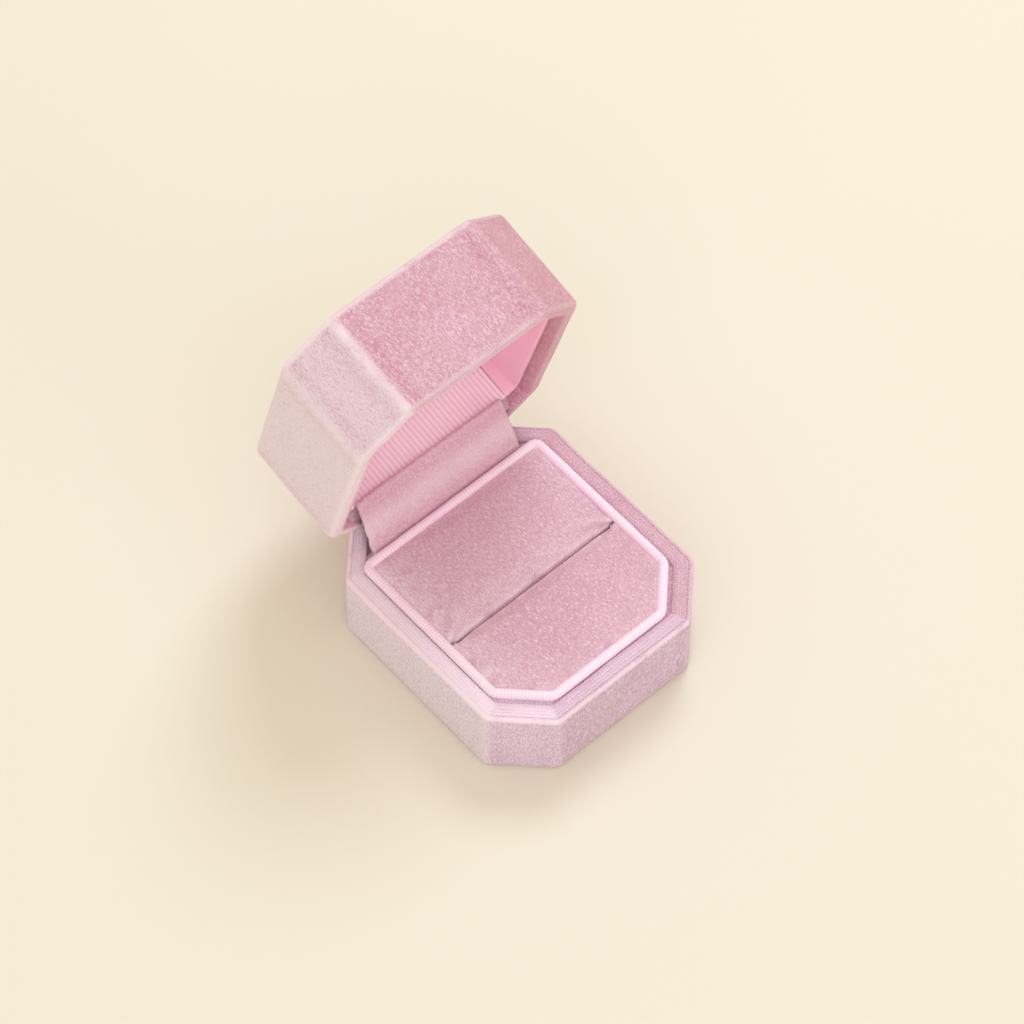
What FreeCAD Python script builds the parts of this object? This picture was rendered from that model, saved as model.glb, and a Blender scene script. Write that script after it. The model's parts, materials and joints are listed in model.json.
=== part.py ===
import FreeCAD, Part
import math
import os

from FreeCAD import Vector

# Small hinged presentation box: octagonal base with a split cushion, octagonal lid standing open.
# X runs left to right, Y from the front to the hinge side, Z up. The origin is the centre of the
# base's footprint on the table. The lid is drawn shut and then turned about the hinge pin.

# Outer box
width = 48.0
depth = 54.6
corner_cut = 8.8
base_height = 16.2
lid_height = 20.9
open_angle = 75.0
rim_gap = 0.3
upright_edge_radius = 1.0

# Layers of the walls
velvet = 0.7
turn_in = 0.5
wall_board = 1.5
floor_board = 2.0
top_board = 1.8
turn_in_depth = 7.0

# Underside
felt_margin = 2.5
turn_under = 4.5
turn_under_lift = 0.3

# Edge rounding
base_rim_radius = 0.9
base_board_radius = 0.4
lid_rim_radius = 1.75
lid_top_radius = 1.3
base_foot_radius = 0.5

# Cushion insert and its corded edge
insert_play = 0.5
hinge_bay = 8.5
insert_cut = 7.9
insert_front_radius = 3.0
insert_back_radius = 2.2
tray_least_radius = 1.2
piping_radius = 1.0
piping_core_radius = 0.62
piping_play = 0.05
piping_height = base_height
collar_board = 1.2
riser_top = 7.0
cushion_inset = 2.25
cushion_cloth = 0.7
cushion_top = 17.35
cushion_crown = 0.7
cushion_edge_radius = 0.9
cushion_corner_radius = 1.6
slit_y = -3.6
slit_gap = 0.5

# Hinge
hinge_margin = 0.8
knuckle_count = 5
knuckle_play = 0.05
pin_radius = 0.5
pin_fit = 0.05
pin_press = 0.01
pin_head_radius = 0.85
pin_head = 0.3
knuckle_radius = 1.0
cam_radius = 1.3
cam_flat = 0.97
leaf = 0.6
leaf_web = 1.6
leaf_length = 11.0
pin_above_lid_rim = 1.9
hinge_notch_play = 0.4
skin_trim = 0.6
spring = 0.3
spring_length = 4.5
spring_finger = 4.4
spring_tip = 0.9
spring_margin = 0.5
rivet_radius = 0.6
rivet_head_radius = 1.1
rivet_head = 0.35
rivet_bite = 1.0
rivet_pitch = 7.0
rivet_from_pin = 9.0

# Velvet strip over the hinge
strip_width = 33.4
strip = 0.7
strip_bend_z = 14.9
strip_tail = 4.0
strip_standoff = 0.12
strip_overlap = 0.9

# Lid lining
liner_recess = 2.6
liner_board = 0.8
lining = 0.4
liner_back_step = 2.0
top_pad = 2.5
lining_cove = 2.5

# Heights and planes that follow from the sizes above
wall_inset = velvet + wall_board
rim_inset = wall_inset + turn_in
floor_z = turn_under_lift + velvet
floor_top = floor_z + floor_board
lid_rim = base_height + rim_gap
lid_top = lid_rim + lid_height
lid_ceiling = lid_top - velvet - top_board
pin_z = lid_rim + pin_above_lid_rim
pin_y = depth / 2 - wall_inset - leaf + knuckle_radius
inner_cut = corner_cut - wall_inset * (2 - math.sqrt(2))
hinge_width = 2 * (width / 2 - wall_inset - inner_cut - hinge_margin)
notch_half = hinge_width / 2 + hinge_notch_play
insert_half = width / 2 - rim_inset - insert_play
insert_front = depth / 2 - rim_inset - insert_play
insert_back = depth / 2 - hinge_bay
liner_half = width / 2 - rim_inset
liner_front = depth / 2 - rim_inset
liner_back = insert_back + liner_back_step
liner_bottom = lid_rim + liner_recess
pad_bottom = lid_ceiling - top_pad
hinge_axis_point = Vector(0, pin_y, pin_z)


def rounded_outline(corners, radii, z):
    """Close a wire round the corners, each corner turned with its own radius."""
    count = len(corners)
    starts = []
    ends = []
    middles = []
    for i in range(count):
        here = Vector(corners[i][0], corners[i][1], z)
        before = Vector(corners[i - 1][0], corners[i - 1][1], z)
        after = Vector(corners[(i + 1) % count][0], corners[(i + 1) % count][1], z)
        inward = (before - here).normalize()
        outward = (after - here).normalize()
        half = inward.getAngle(outward) / 2
        radius = radii[i]
        reach = radius / math.tan(half)
        bisector = (inward + outward).normalize()
        starts.append(here + inward * reach)
        ends.append(here + outward * reach)
        middles.append(here + bisector * (radius / math.sin(half) - radius))
    edges = []
    for i in range(count):
        edges.append(Part.Arc(starts[i], middles[i], ends[i]).toShape())
        edges.append(Part.makeLine(ends[i], starts[(i + 1) % count]))
    return Part.Wire(edges)


def octagon(inset, z):
    """Outline of the box walls, drawn in from the outside by the inset."""
    x = width / 2 - inset
    y = depth / 2 - inset
    cut = corner_cut - inset * (2 - math.sqrt(2))
    corners = [(x, -y + cut), (x, y - cut), (x - cut, y), (-x + cut, y)]
    corners += [(-x, y - cut), (-x, -y + cut), (-x + cut, -y), (x - cut, -y)]
    radius = max(upright_edge_radius - inset, 0.3)
    return rounded_outline(corners, [radius] * len(corners), z)


def tray(half, front, back, inset, z, near=None, far=None):
    """Outline of an insert with cut front corners; near and far trim it in Y."""
    x = half - inset
    cut = insert_cut - inset * (2 - math.sqrt(2))
    front_radius = max(insert_front_radius - inset, tray_least_radius)
    back_radius = max(insert_back_radius - inset, tray_least_radius)
    front_corners = [(-x, -front + inset + cut), (-x + cut, -front + inset)]
    front_corners += [(x - cut, -front + inset), (x, -front + inset + cut)]
    rear = back - inset if far is None else far
    if near is not None:
        corners = [(-x, near), (x, near), (x, rear), (-x, rear)]
        radii = [cushion_corner_radius] * 2 + [back_radius] * 2
        return rounded_outline(corners, radii, z)
    corners = front_corners + [(x, rear), (-x, rear)]
    tail_radius = back_radius if far is None else cushion_corner_radius
    radii = [front_radius] * 4 + [tail_radius] * 2
    return rounded_outline(corners, radii, z)


def prism(wire, height):
    """Solid standing on a wire."""
    return Part.Face(wire).extrude(Vector(0, 0, height))


def octagon_block(inset, low, high):
    """Octagonal block between two heights."""
    return prism(octagon(inset, low), high - low)


def edges_at(shape, z):
    """Edges of a shape that lie flat at one height."""
    found = []
    for edge in shape.Edges:
        box = edge.BoundBox
        if abs(box.ZMin - z) < 1e-4 and abs(box.ZMax - z) < 1e-4:
            found.append(edge)
    return found


def slab(x_half, y_low, y_high, z_low, z_high):
    """Block centred on X, given by its limits in Y and Z."""
    corner = Vector(-x_half, y_low, z_low)
    return Part.makeBox(2 * x_half, y_high - y_low, z_high - z_low, corner)


def x_rod(radius, start, end, y, z):
    """Round bar lying along X."""
    return Part.makeCylinder(radius, end - start, Vector(start, y, z), Vector(1, 0, 0))


def opened(shape):
    """Turn a lid piece from shut to open about the hinge pin."""
    turned = shape.copy()
    turned.rotate(hinge_axis_point, Vector(1, 0, 0), -open_angle)
    return turned


def opened_point(y, z):
    """Place a point of the shut lid where it stands when open."""
    turn = FreeCAD.Rotation(Vector(1, 0, 0), -open_angle)
    return hinge_axis_point + turn.multVec(Vector(0, y, z) - hinge_axis_point)


pieces = {}

# Base: felt, boards and velvet wrap
felt_sheet = octagon_block(felt_margin, 0, turn_under_lift)
felt_plug = octagon_block(turn_under, turn_under_lift, floor_z)
pieces["underside_felt"] = felt_sheet.fuse(felt_plug).removeSplitter()

pieces["base_floor_board"] = octagon_block(velvet, floor_z, floor_top)

wall_top = base_height - velvet
wall_outer = octagon_block(velvet, floor_top, wall_top)
wall_outer = wall_outer.makeFillet(base_board_radius, edges_at(wall_outer, wall_top))
base_wall = wall_outer.cut(octagon_block(wall_inset, floor_top, wall_top))

base_skin = octagon_block(0, turn_under_lift, base_height)
base_skin = base_skin.makeFillet(base_rim_radius, edges_at(base_skin, base_height))
base_skin = base_skin.makeFillet(base_foot_radius, edges_at(base_skin, turn_under_lift))
base_skin = base_skin.cut(octagon_block(velvet, floor_z, floor_top))
base_skin = base_skin.cut(wall_outer)
base_skin = base_skin.cut(octagon_block(turn_under, 0, floor_z))
turn_in_ring = octagon_block(wall_inset, base_height - turn_in_depth, wall_top)
base_skin = base_skin.fuse(turn_in_ring)
base_skin = base_skin.cut(octagon_block(rim_inset, floor_top, base_height + 1))
leaf_slot = slab(notch_half, insert_back, depth / 2 - wall_inset, floor_top, base_height + 1)
base_skin = base_skin.cut(leaf_slot).removeSplitter()
pieces["base_velvet"] = base_skin

# Insert: collar, riser, split cushion and corded edge
pipe_inset = piping_radius + piping_play
pipe_path = tray(insert_half, insert_front, insert_back, pipe_inset, piping_height)
pipe_start = Vector(0, -insert_front + pipe_inset, piping_height)


def corded(radius):
    """Round cord following the insert's edge."""
    ring = Part.Wire(Part.makeCircle(radius, pipe_start, Vector(1, 0, 0)))
    return pipe_path.makePipeShell([ring], True, True)


cord_outside = corded(piping_radius)
cord_core = corded(piping_core_radius)
pieces["piping_cord"] = cord_core
pieces["piping_ribbon"] = cord_outside.cut(cord_core)

collar_out = tray(insert_half, insert_front, insert_back, pipe_inset - collar_board / 2, floor_top)
collar_in_inset = pipe_inset + collar_board / 2
collar_in = tray(insert_half, insert_front, insert_back, collar_in_inset, floor_top)
collar_height = piping_height - floor_top
collar = prism(collar_out, collar_height).cut(prism(collar_in, collar_height))
pieces["insert_collar"] = collar.cut(cord_outside)
pieces["insert_riser"] = prism(collar_in, riser_top - floor_top)


def cushion_block(front_half, shrink, top):
    """Crowned pad on one side of the slit, drawn in by the shrink."""
    inset = cushion_inset + shrink
    if front_half:
        far = slit_y - slit_gap / 2 - shrink
        outline = tray(insert_half, insert_front, insert_back, inset, riser_top, None, far)
    else:
        near = slit_y + slit_gap / 2 + shrink
        outline = tray(insert_half, insert_front, insert_back, inset, riser_top, near)
    block = prism(outline, top - riser_top + 1)
    crown_radius = insert_half ** 2 / (2 * cushion_crown)
    crown_start = Vector(0, -depth, top - crown_radius)
    crown = Part.makeCylinder(crown_radius, 2 * depth, crown_start, Vector(0, 1, 0))
    block = block.common(crown)
    rim = [edge for edge in block.Edges if edge.BoundBox.ZMin > riser_top + 1]
    return block.makeFillet(cushion_edge_radius, rim)


for side, is_front in (("front", True), ("rear", False)):
    cover = cushion_block(is_front, 0, cushion_top)
    core = cushion_block(is_front, cushion_cloth, cushion_top - cushion_cloth)
    pieces[side + "_cushion_foam"] = core
    pieces[side + "_cushion_velvet"] = cover.cut(core)

# Concealed hinge: two leaves, pin and snap spring
knuckle_width = hinge_width / knuckle_count
leaf_front = pin_y - knuckle_radius
leaf_back = leaf_front + leaf


def knuckle_span(index):
    """Limits in X of one knuckle."""
    start = -hinge_width / 2 + index * knuckle_width
    return start + knuckle_play, start + knuckle_width - knuckle_play


def knuckle(index, radius, bore, direction):
    """One curl of a leaf with the strap that ties it to its plate."""
    start, end = knuckle_span(index)
    low = min(pin_z, pin_z + direction * leaf_web)
    strap = Part.makeBox(end - start, leaf, leaf_web, Vector(start, leaf_front, low))
    curl = x_rod(radius, start, end, pin_y, pin_z)
    return curl.fuse(strap).cut(x_rod(bore, start, end, pin_y, pin_z))


def rivet_places():
    """Positions across the hinge of the rivets in one leaf."""
    return [rivet_pitch * (i - 1.5) for i in range(4)]


def rivets(z, front):
    """Row of rivets through one leaf into the wall board."""
    row = []
    for x in rivet_places():
        seat = front if abs(x) < rivet_pitch else leaf_front
        foot = leaf_back + rivet_bite
        shank = Part.makeCylinder(rivet_radius, foot - seat, Vector(x, seat, z), Vector(0, 1, 0))
        top = Vector(x, seat - rivet_head, z)
        head = Part.makeCylinder(rivet_head_radius, rivet_head, top, Vector(0, 1, 0))
        row.append(shank.fuse(head).removeSplitter())
    return Part.makeCompound(row)


base_rivets = rivets(pin_z - rivet_from_pin, leaf_front - spring)
lid_rivets = rivets(pin_z + rivet_from_pin, leaf_front)

base_plate_top = pin_z - leaf_web
base_leaf = slab(hinge_width / 2, leaf_front, leaf_back, pin_z - leaf_length, base_plate_top)
lid_plate_low = pin_z + leaf_web
lid_leaf = slab(hinge_width / 2, leaf_front, leaf_back, lid_plate_low, pin_z + leaf_length)
cam_cut = Part.makeBox(hinge_width, 1, 4 * cam_radius)
cam_cut.translate(Vector(-hinge_width / 2, pin_y - cam_flat - 1, pin_z - 2 * cam_radius))
cam_cut_open = cam_cut.copy()
cam_cut_open.rotate(hinge_axis_point, Vector(1, 0, 0), open_angle)
cam_back = slab(hinge_width, pin_y + cam_flat, pin_y + 2 * cam_radius, pin_z - 2, pin_z + 2)
for i in range(knuckle_count):
    if i % 2 == 0:
        base_leaf = base_leaf.fuse(knuckle(i, knuckle_radius, pin_radius + pin_press, -1))
    else:
        cam = knuckle(i, cam_radius, pin_radius + pin_fit, 1)
        cam = cam.cut(cam_cut).cut(cam_cut_open).cut(cam_back)
        lid_leaf = lid_leaf.fuse(cam)
pieces["base_hinge_leaf"] = base_leaf.removeSplitter().cut(base_rivets)
lid_leaf = lid_leaf.removeSplitter().cut(lid_rivets)

pin_end = hinge_width / 2 + knuckle_play
pin = x_rod(pin_radius, -pin_end, pin_end, pin_y, pin_z)
pin = pin.fuse(x_rod(pin_head_radius, -pin_end - pin_head, -pin_end, pin_y, pin_z))
pin = pin.fuse(x_rod(pin_head_radius, pin_end, pin_end + pin_head, pin_y, pin_z))
pieces["hinge_pin"] = pin.removeSplitter()

spring_low = pin_z - leaf_length + spring_margin
spring_half = 1.5 * knuckle_width - spring_margin
snap = slab(spring_half, leaf_front - spring, leaf_front, spring_low, spring_low + spring_length)
for i in (1, 3):
    start, end = knuckle_span(i)
    finger_x = (start + end - spring_finger) / 2
    tall = pin_z + spring_tip - spring_low
    corner = Vector(finger_x, leaf_front - spring, spring_low)
    snap = snap.fuse(Part.makeBox(spring_finger, spring, tall, corner))
pieces["snap_spring"] = snap.removeSplitter().cut(base_rivets)
pieces["base_leaf_rivets"] = base_rivets
pieces["base_wall_board"] = base_wall.cut(base_rivets)

# Lid: boards and velvet wrap
lid_wall_low = lid_rim + velvet
lid_envelope = octagon_block(velvet, lid_wall_low, lid_top - velvet)
lid_envelope = lid_envelope.makeFillet(lid_rim_radius - velvet, edges_at(lid_envelope, lid_wall_low))
top_edges = edges_at(lid_envelope, lid_top - velvet)
lid_envelope = lid_envelope.makeFillet(lid_top_radius - velvet, top_edges)
knuckle_notch = slab(notch_half, insert_back, depth / 2 - velvet, 0, pin_z + leaf_web)
lid_hollow = octagon_block(wall_inset, lid_rim, lid_ceiling)
lid_wall = lid_envelope.cut(octagon_block(0, lid_ceiling, lid_top))
lid_wall = lid_wall.cut(lid_hollow).cut(knuckle_notch).cut(lid_rivets)
lid_top_panel = lid_envelope.common(octagon_block(0, lid_ceiling, lid_top))

lid_skin = octagon_block(0, lid_rim, lid_top)
lid_skin = lid_skin.makeFillet(lid_rim_radius, edges_at(lid_skin, lid_rim))
lid_skin = lid_skin.makeFillet(lid_top_radius, edges_at(lid_skin, lid_top))
lid_skin = lid_skin.cut(lid_envelope)
lid_skin = lid_skin.fuse(octagon_block(wall_inset, lid_wall_low, lid_rim + turn_in_depth))
lid_skin = lid_skin.cut(octagon_block(rim_inset, 0, lid_rim + turn_in_depth))
lid_leaf_slot = slab(notch_half, insert_back, depth / 2 - wall_inset, 0, lid_ceiling)
skin_window = slab(notch_half, insert_back, depth, 0, pin_z - skin_trim)
lid_skin = lid_skin.cut(lid_leaf_slot).cut(knuckle_notch).cut(skin_window).removeSplitter()

# Lid: lining tray
def liner(inset, low, high):
    """Block with the outline of the lid's lining tray."""
    block = prism(tray(liner_half, liner_front, liner_back, inset, low), high - low)
    return block.common(octagon_block(rim_inset + inset, low, high))


tray_board = liner(0, liner_bottom, lid_ceiling).cut(liner(liner_board, liner_bottom, lid_ceiling))
ceiling_pad = liner(liner_board, pad_bottom, lid_ceiling)
lining_face = liner_board + lining
cloth_ring = liner(liner_board, liner_bottom, pad_bottom)
cloth_ring = cloth_ring.cut(liner(lining_face, liner_bottom, pad_bottom))
front_seam = -liner_front + insert_cut + insert_front_radius
back_seam = liner_back - liner_board - insert_back_radius
front_cloth = cloth_ring.common(slab(width, -depth, front_seam, 0, lid_top))
back_cloth = cloth_ring.common(slab(width, back_seam, depth, 0, lid_top))
side_cloth = cloth_ring.common(slab(width, front_seam, back_seam, 0, lid_top))
left_cloth = side_cloth.common(Part.makeBox(width, 2 * depth, lid_top, Vector(-width, -depth, 0)))
right_cloth = side_cloth.common(Part.makeBox(width, 2 * depth, lid_top, Vector(0, -depth, 0)))
ceiling_cloth = liner(lining_face, pad_bottom - lining, pad_bottom)
cove_y = liner_back - lining_face
cove_z = pad_bottom - lining
cove = slab(liner_half, cove_y - lining_cove, cove_y, cove_z - lining_cove, cove_z)
cove_bore = x_rod(lining_cove, -width, width, cove_y - lining_cove, cove_z - lining_cove)
cove = cove.cut(cove_bore).common(liner(lining_face, liner_bottom, cove_z))
ribbed_cloth = back_cloth.fuse(ceiling_cloth).fuse(cove).removeSplitter()

lid_pieces = {
    "lid_top_board": lid_top_panel,
    "lid_wall_board": lid_wall,
    "lid_velvet": lid_skin,
    "lid_liner_board": tray_board,
    "lid_ceiling_pad": ceiling_pad,
    "lid_ribbed_lining": ribbed_cloth,
    "lid_left_lining": left_cloth,
    "lid_right_lining": right_cloth,
    "lid_front_lining": front_cloth,
    "lid_hinge_leaf": lid_leaf,
    "lid_leaf_rivets": lid_rivets,
}
for name, shape in lid_pieces.items():
    pieces[name] = opened(shape)

# Velvet strip from the back of the collar up to the lid's lining
collar_back = insert_back - pipe_inset + collar_board / 2
landing = opened_point(liner_back - liner_board - lining, liner_bottom)
bend = Vector(0, collar_back + strip, strip_bend_z)
rise = (landing - bend).normalize()
outward = Vector(0, -rise.z, rise.y)
back_low = bend
back_high = landing + outward * strip_standoff + rise * strip_overlap
front_high = back_high + outward * strip
front_low = Vector(0, collar_back, strip_bend_z)
tail_low = strip_bend_z - strip_tail
tail = [Vector(0, collar_back, tail_low), Vector(0, collar_back + strip, tail_low)]
strip_wire = Part.makePolygon(tail + [back_low, back_high, front_high, front_low, tail[0]])
strip_solid = Part.Face(strip_wire).extrude(Vector(strip_width, 0, 0))
strip_solid.translate(Vector(-strip_width / 2, 0, 0))
pieces["hinge_strip"] = strip_solid

os.makedirs("parts", exist_ok=True)
for name, shape in pieces.items():
    shape.exportStep("parts/" + name + ".step")
    print(name, shape.isValid(), len(shape.Solids), round(shape.Volume, 2))
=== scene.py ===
"""Dress the small velvet presentation box: velvet, ribbed ribbon, satin and the studio around it."""

import json
import logging
import math
from dataclasses import dataclass, field
from enum import Enum
from typing import Callable, Dict, List, Optional, Sequence, Tuple, Union

import bmesh
import bpy
from mathutils import Matrix, Vector, noise


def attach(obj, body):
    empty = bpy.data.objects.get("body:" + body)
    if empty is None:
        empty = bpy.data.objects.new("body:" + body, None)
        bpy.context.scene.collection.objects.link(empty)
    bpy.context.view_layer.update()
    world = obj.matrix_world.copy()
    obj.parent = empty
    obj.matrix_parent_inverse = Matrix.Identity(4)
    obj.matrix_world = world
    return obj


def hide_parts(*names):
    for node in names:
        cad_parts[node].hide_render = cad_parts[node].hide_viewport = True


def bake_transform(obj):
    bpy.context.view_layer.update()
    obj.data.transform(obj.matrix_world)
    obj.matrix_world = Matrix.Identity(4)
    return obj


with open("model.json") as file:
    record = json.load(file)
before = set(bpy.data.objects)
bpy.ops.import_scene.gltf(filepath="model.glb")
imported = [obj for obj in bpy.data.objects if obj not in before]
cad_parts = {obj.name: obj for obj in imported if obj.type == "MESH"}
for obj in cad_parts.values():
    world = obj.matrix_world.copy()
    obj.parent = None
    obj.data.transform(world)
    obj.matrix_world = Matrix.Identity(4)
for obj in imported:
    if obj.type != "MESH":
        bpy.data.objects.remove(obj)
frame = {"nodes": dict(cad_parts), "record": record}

LOG = logging.getLogger("velvet_box")
MM = 0.001
# A corner cut gets shorter by this share of the inset when its outline is drawn in.
CUT_LOSS = 2 - math.sqrt(2)
SMALLEST_CUT = 0.02
RIDGE_STEPS = 8
# Largest shares of painted shade on top of the base's rim, where it faces front and where it faces right.
RIM_PAINTED_SHADE_FRONT = 0.3
RIM_PAINTED_SHADE_RIGHT = 0.55
# Edges shorter than this, in metres, count as having no length.
COLLAPSED = 1e-7

Point2 = Tuple[float, float]
Point3 = Tuple[float, float, float]
Colour = Tuple[float, float, float, float]
Face = Tuple[int, ...]
Piece = bpy.types.Object
Material = bpy.types.Material
Socket = bpy.types.NodeSocket


class Body(Enum):
    """The two rigid bodies of the box."""

    BASE = "base"
    LID = "lid"


class Slot(Enum):
    """Material slots of the record."""

    VELVET = "velvet"
    CUSHION = "cushion_velvet"
    RIBBON = "ribbon"
    SATIN = "satin"
    FELT = "felt"
    FOAM = "foam"
    BOARD = "board"
    STEEL = "hinge_steel"
    BRASS = "brass"
    CORD = "cord"


class Side(Enum):
    """The sides of the lid that are lined with smooth satin."""

    LEFT = "left"
    RIGHT = "right"
    FRONT = "front"


def linear(value: float) -> float:
    """Turn one screen value from 0 to 255 into linear light."""
    part = value / 255.0
    return part / 12.92 if part <= 0.04045 else ((part + 0.055) / 1.055) ** 2.4


def srgb(red: float, green: float, blue: float) -> Colour:
    """Give the linear colour, with full alpha, of screen values from 0 to 255."""
    return (linear(red), linear(green), linear(blue), 1.0)


@dataclass(frozen=True)
class BoxSizes:
    """Sizes of the dressed box in millimetres, close to those of the solids."""

    width: float = 48.0
    depth: float = 54.6
    corner_cut: float = 8.8
    base_height: float = 16.2
    lid_height: float = 20.9
    rim_gap: float = 0.3
    open_angle: float = 75.0
    wall: float = 2.2
    wall_margin: float = 0.05
    rim: float = 2.7
    insert_half: float = 20.8
    insert_front: float = 24.0
    insert_back: float = 18.8
    insert_cut: float = 7.9
    piping_radius: float = 0.93
    slit_y: float = -3.6
    pin_y: float = 25.5
    pin_z: float = 18.4
    hinge_half: float = 13.9
    hinge_front: float = 18.0
    liner_back: float = 19.7
    liner_recess: float = 2.6
    liner_ceiling: float = 32.0

    @property
    def lid_rim(self) -> float:
        """Height of the shut lid's rim."""
        return self.base_height + self.rim_gap

    @property
    def lid_top(self) -> float:
        """Height of the shut lid's top."""
        return self.lid_rim + self.lid_height

    @property
    def liner_low(self) -> float:
        """Height of the lower edge of the shut lid's lining."""
        return self.lid_rim + self.liner_recess

    @property
    def wall_inside(self) -> float:
        """Inset from which a face lies on the inside of the wall."""
        return self.wall - self.wall_margin

    def opened(self) -> Matrix:
        """Give the turn that takes the shut lid to its open rest pose.

        Returns:
            The turn about the hinge pin, in metres.
        """
        pin = Vector((0.0, self.pin_y * MM, self.pin_z * MM))
        turn = Matrix.Rotation(math.radians(-self.open_angle), 4, "X")
        return Matrix.Translation(pin) @ turn @ Matrix.Translation(-pin)

    def in_hinge_bay(self, middle: Vector) -> bool:
        """Tell whether a place in metres lies in the bay at the back where the hinge works."""
        return abs(middle.x) < self.hinge_half * MM and middle.y > self.hinge_front * MM


def cut_plan(half: float, low: float, high: float, cut: float, rear: float = 0.0) -> List[Point2]:
    """Give the corners of a plan whose front corners, and back ones where wanted, are cut off.

    Args:
        half: Half width.
        low: Place of the front edge.
        high: Place of the back edge.
        cut: Cut at the front corners.
        rear: Cut at the back corners, 0 for square ones.

    Returns:
        The corners in order, anticlockwise.
    """
    back = [(half, high), (-half, high)]
    if rear > 0:
        back = [(half, high - rear), (half - rear, high), (-half + rear, high), (-half, high - rear)]
    return [(half, low + cut)] + back + [(-half, low + cut), (-half + cut, low), (half - cut, low)]


def shrink(corners: Sequence[Point2], inset: float) -> List[Point2]:
    """Draw a convex outline in by an inset.

    Args:
        corners: Corner points in order, anticlockwise.
        inset: Distance in millimetres.

    Returns:
        The corners of the smaller outline.
    """
    count = len(corners)
    lines = []
    for i in range(count):
        a = Vector(corners[i])
        b = Vector(corners[(i + 1) % count])
        along = (b - a).normalized()
        inward = Vector((-along.y, along.x))
        lines.append((a + inward * inset, along))
    found = []
    for i in range(count):
        p, d = lines[i - 1]
        q, e = lines[i]
        cross = d.x * e.y - d.y * e.x
        step = ((q.x - p.x) * e.y - (q.y - p.y) * e.x) / cross
        meet = p + d * step
        found.append((meet.x, meet.y))
    return found


class Outline:
    """A closed plan outline with rounded corners, cut up evenly for sweeping.

    Each round corner has arc_steps steps, and run_step is about the step along a straight run. The
    strip beside a bend, where a painted shade band is laid, lies beside_at from it and fades over
    beside_width, all in millimetres.
    """

    arc_steps: int = 8
    run_step: float = 1.2
    beside_at: float = 1.6
    beside_width: float = 1.1

    def corners(self, inset: float) -> List[Point2]:
        """Give the corner points of the outline drawn in by an inset."""
        raise NotImplementedError

    def radius(self, inset: float, index: int) -> float:
        """Give the rounding radius of one corner of the outline drawn in by an inset."""
        raise NotImplementedError

    def run(self, index: int) -> Tuple[float, int]:
        """Give the length of the straight run after a corner and the number of its steps.

        Args:
            index: The corner's index.

        Returns:
            The length in millimetres and the steps.
        """
        outer = [Vector(p) for p in self.corners(0.0)]
        length = (outer[(index + 1) % len(outer)] - outer[index]).length
        return length, max(2, int(length / self.run_step))

    def arc(self, last: Vector, here: Vector, following: Vector, radius: float) -> List[Vector]:
        """Give the points round one corner.

        Args:
            last: The corner before it.
            here: The corner.
            following: The corner after it.
            radius: Its rounding radius.

        Returns:
            The points in order.
        """
        before = (last - here).normalized()
        after = (following - here).normalized()
        half = before.angle(after) / 2
        middle = here + (before + after).normalized() * (radius / math.sin(half))
        start = here + before * (radius / math.tan(half)) - middle
        end = here + after * (radius / math.tan(half)) - middle
        turn = start.angle_signed(end)
        steps = self.arc_steps
        return [middle + Matrix.Rotation(-turn * k / steps, 2) @ start for k in range(steps + 1)]

    def ring(self, inset: float) -> List[Point2]:
        """Give the points of the outline drawn in by an inset.

        Args:
            inset: How far the outline is drawn in, in millimetres.

        Returns:
            The points in order; every inset gives the same number.
        """
        points = [Vector(p) for p in self.corners(inset)]
        count = len(points)
        arcs: List[List[Vector]] = []
        for i, here in enumerate(points):
            arcs.append(self.arc(points[i - 1], here, points[(i + 1) % count], self.radius(inset, i)))
        result: List[Point2] = []
        for i, arc in enumerate(arcs):
            result += [(p.x, p.y) for p in arc]
            target = arcs[(i + 1) % count][0]
            steps = self.run(i)[1]
            for k in range(1, steps):
                p = arc[-1].lerp(target, k / steps)
                result.append((p.x, p.y))
        return result

    def bends(self) -> List[Point2]:
        """Give how far each point of a ring lies on a bend and how near beside one.

        Returns:
            Pairs of bend and nearness, each from 0 to 1, in the order of the ring.
        """
        found: List[Point2] = []
        for i in range(len(self.corners(0.0))):
            found += [(math.sin(math.pi * k / self.arc_steps), 0.0) for k in range(self.arc_steps + 1)]
            length, steps = self.run(i)
            for k in range(1, steps):
                gap = min(k, steps - k) * length / steps
                found.append((0.0, math.exp(-((gap - self.beside_at) / self.beside_width) ** 2)))
        return found


@dataclass(frozen=True)
class WallOutline(Outline):
    """The outside of the box walls, with upright edges of one rounding radius."""

    sizes: BoxSizes
    edge_radius: float
    run_step: float = 0.9
    least_radius: float = 0.5
    radius_loss: float = 0.5

    def corners(self, inset: float) -> List[Point2]:
        """Give the corner points of the outline drawn in by an inset.

        Args:
            inset: Distance in millimetres.

        Returns:
            The corners in order.
        """
        x = self.sizes.width / 2 - inset
        y = self.sizes.depth / 2 - inset
        cut = max(SMALLEST_CUT, self.sizes.corner_cut - inset * CUT_LOSS)
        return cut_plan(x, -y, y, cut, cut)

    def radius(self, inset: float, index: int) -> float:
        """Give the rounding radius at an inset, the same for every corner."""
        return max(self.least_radius, self.edge_radius - self.radius_loss * inset)


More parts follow.
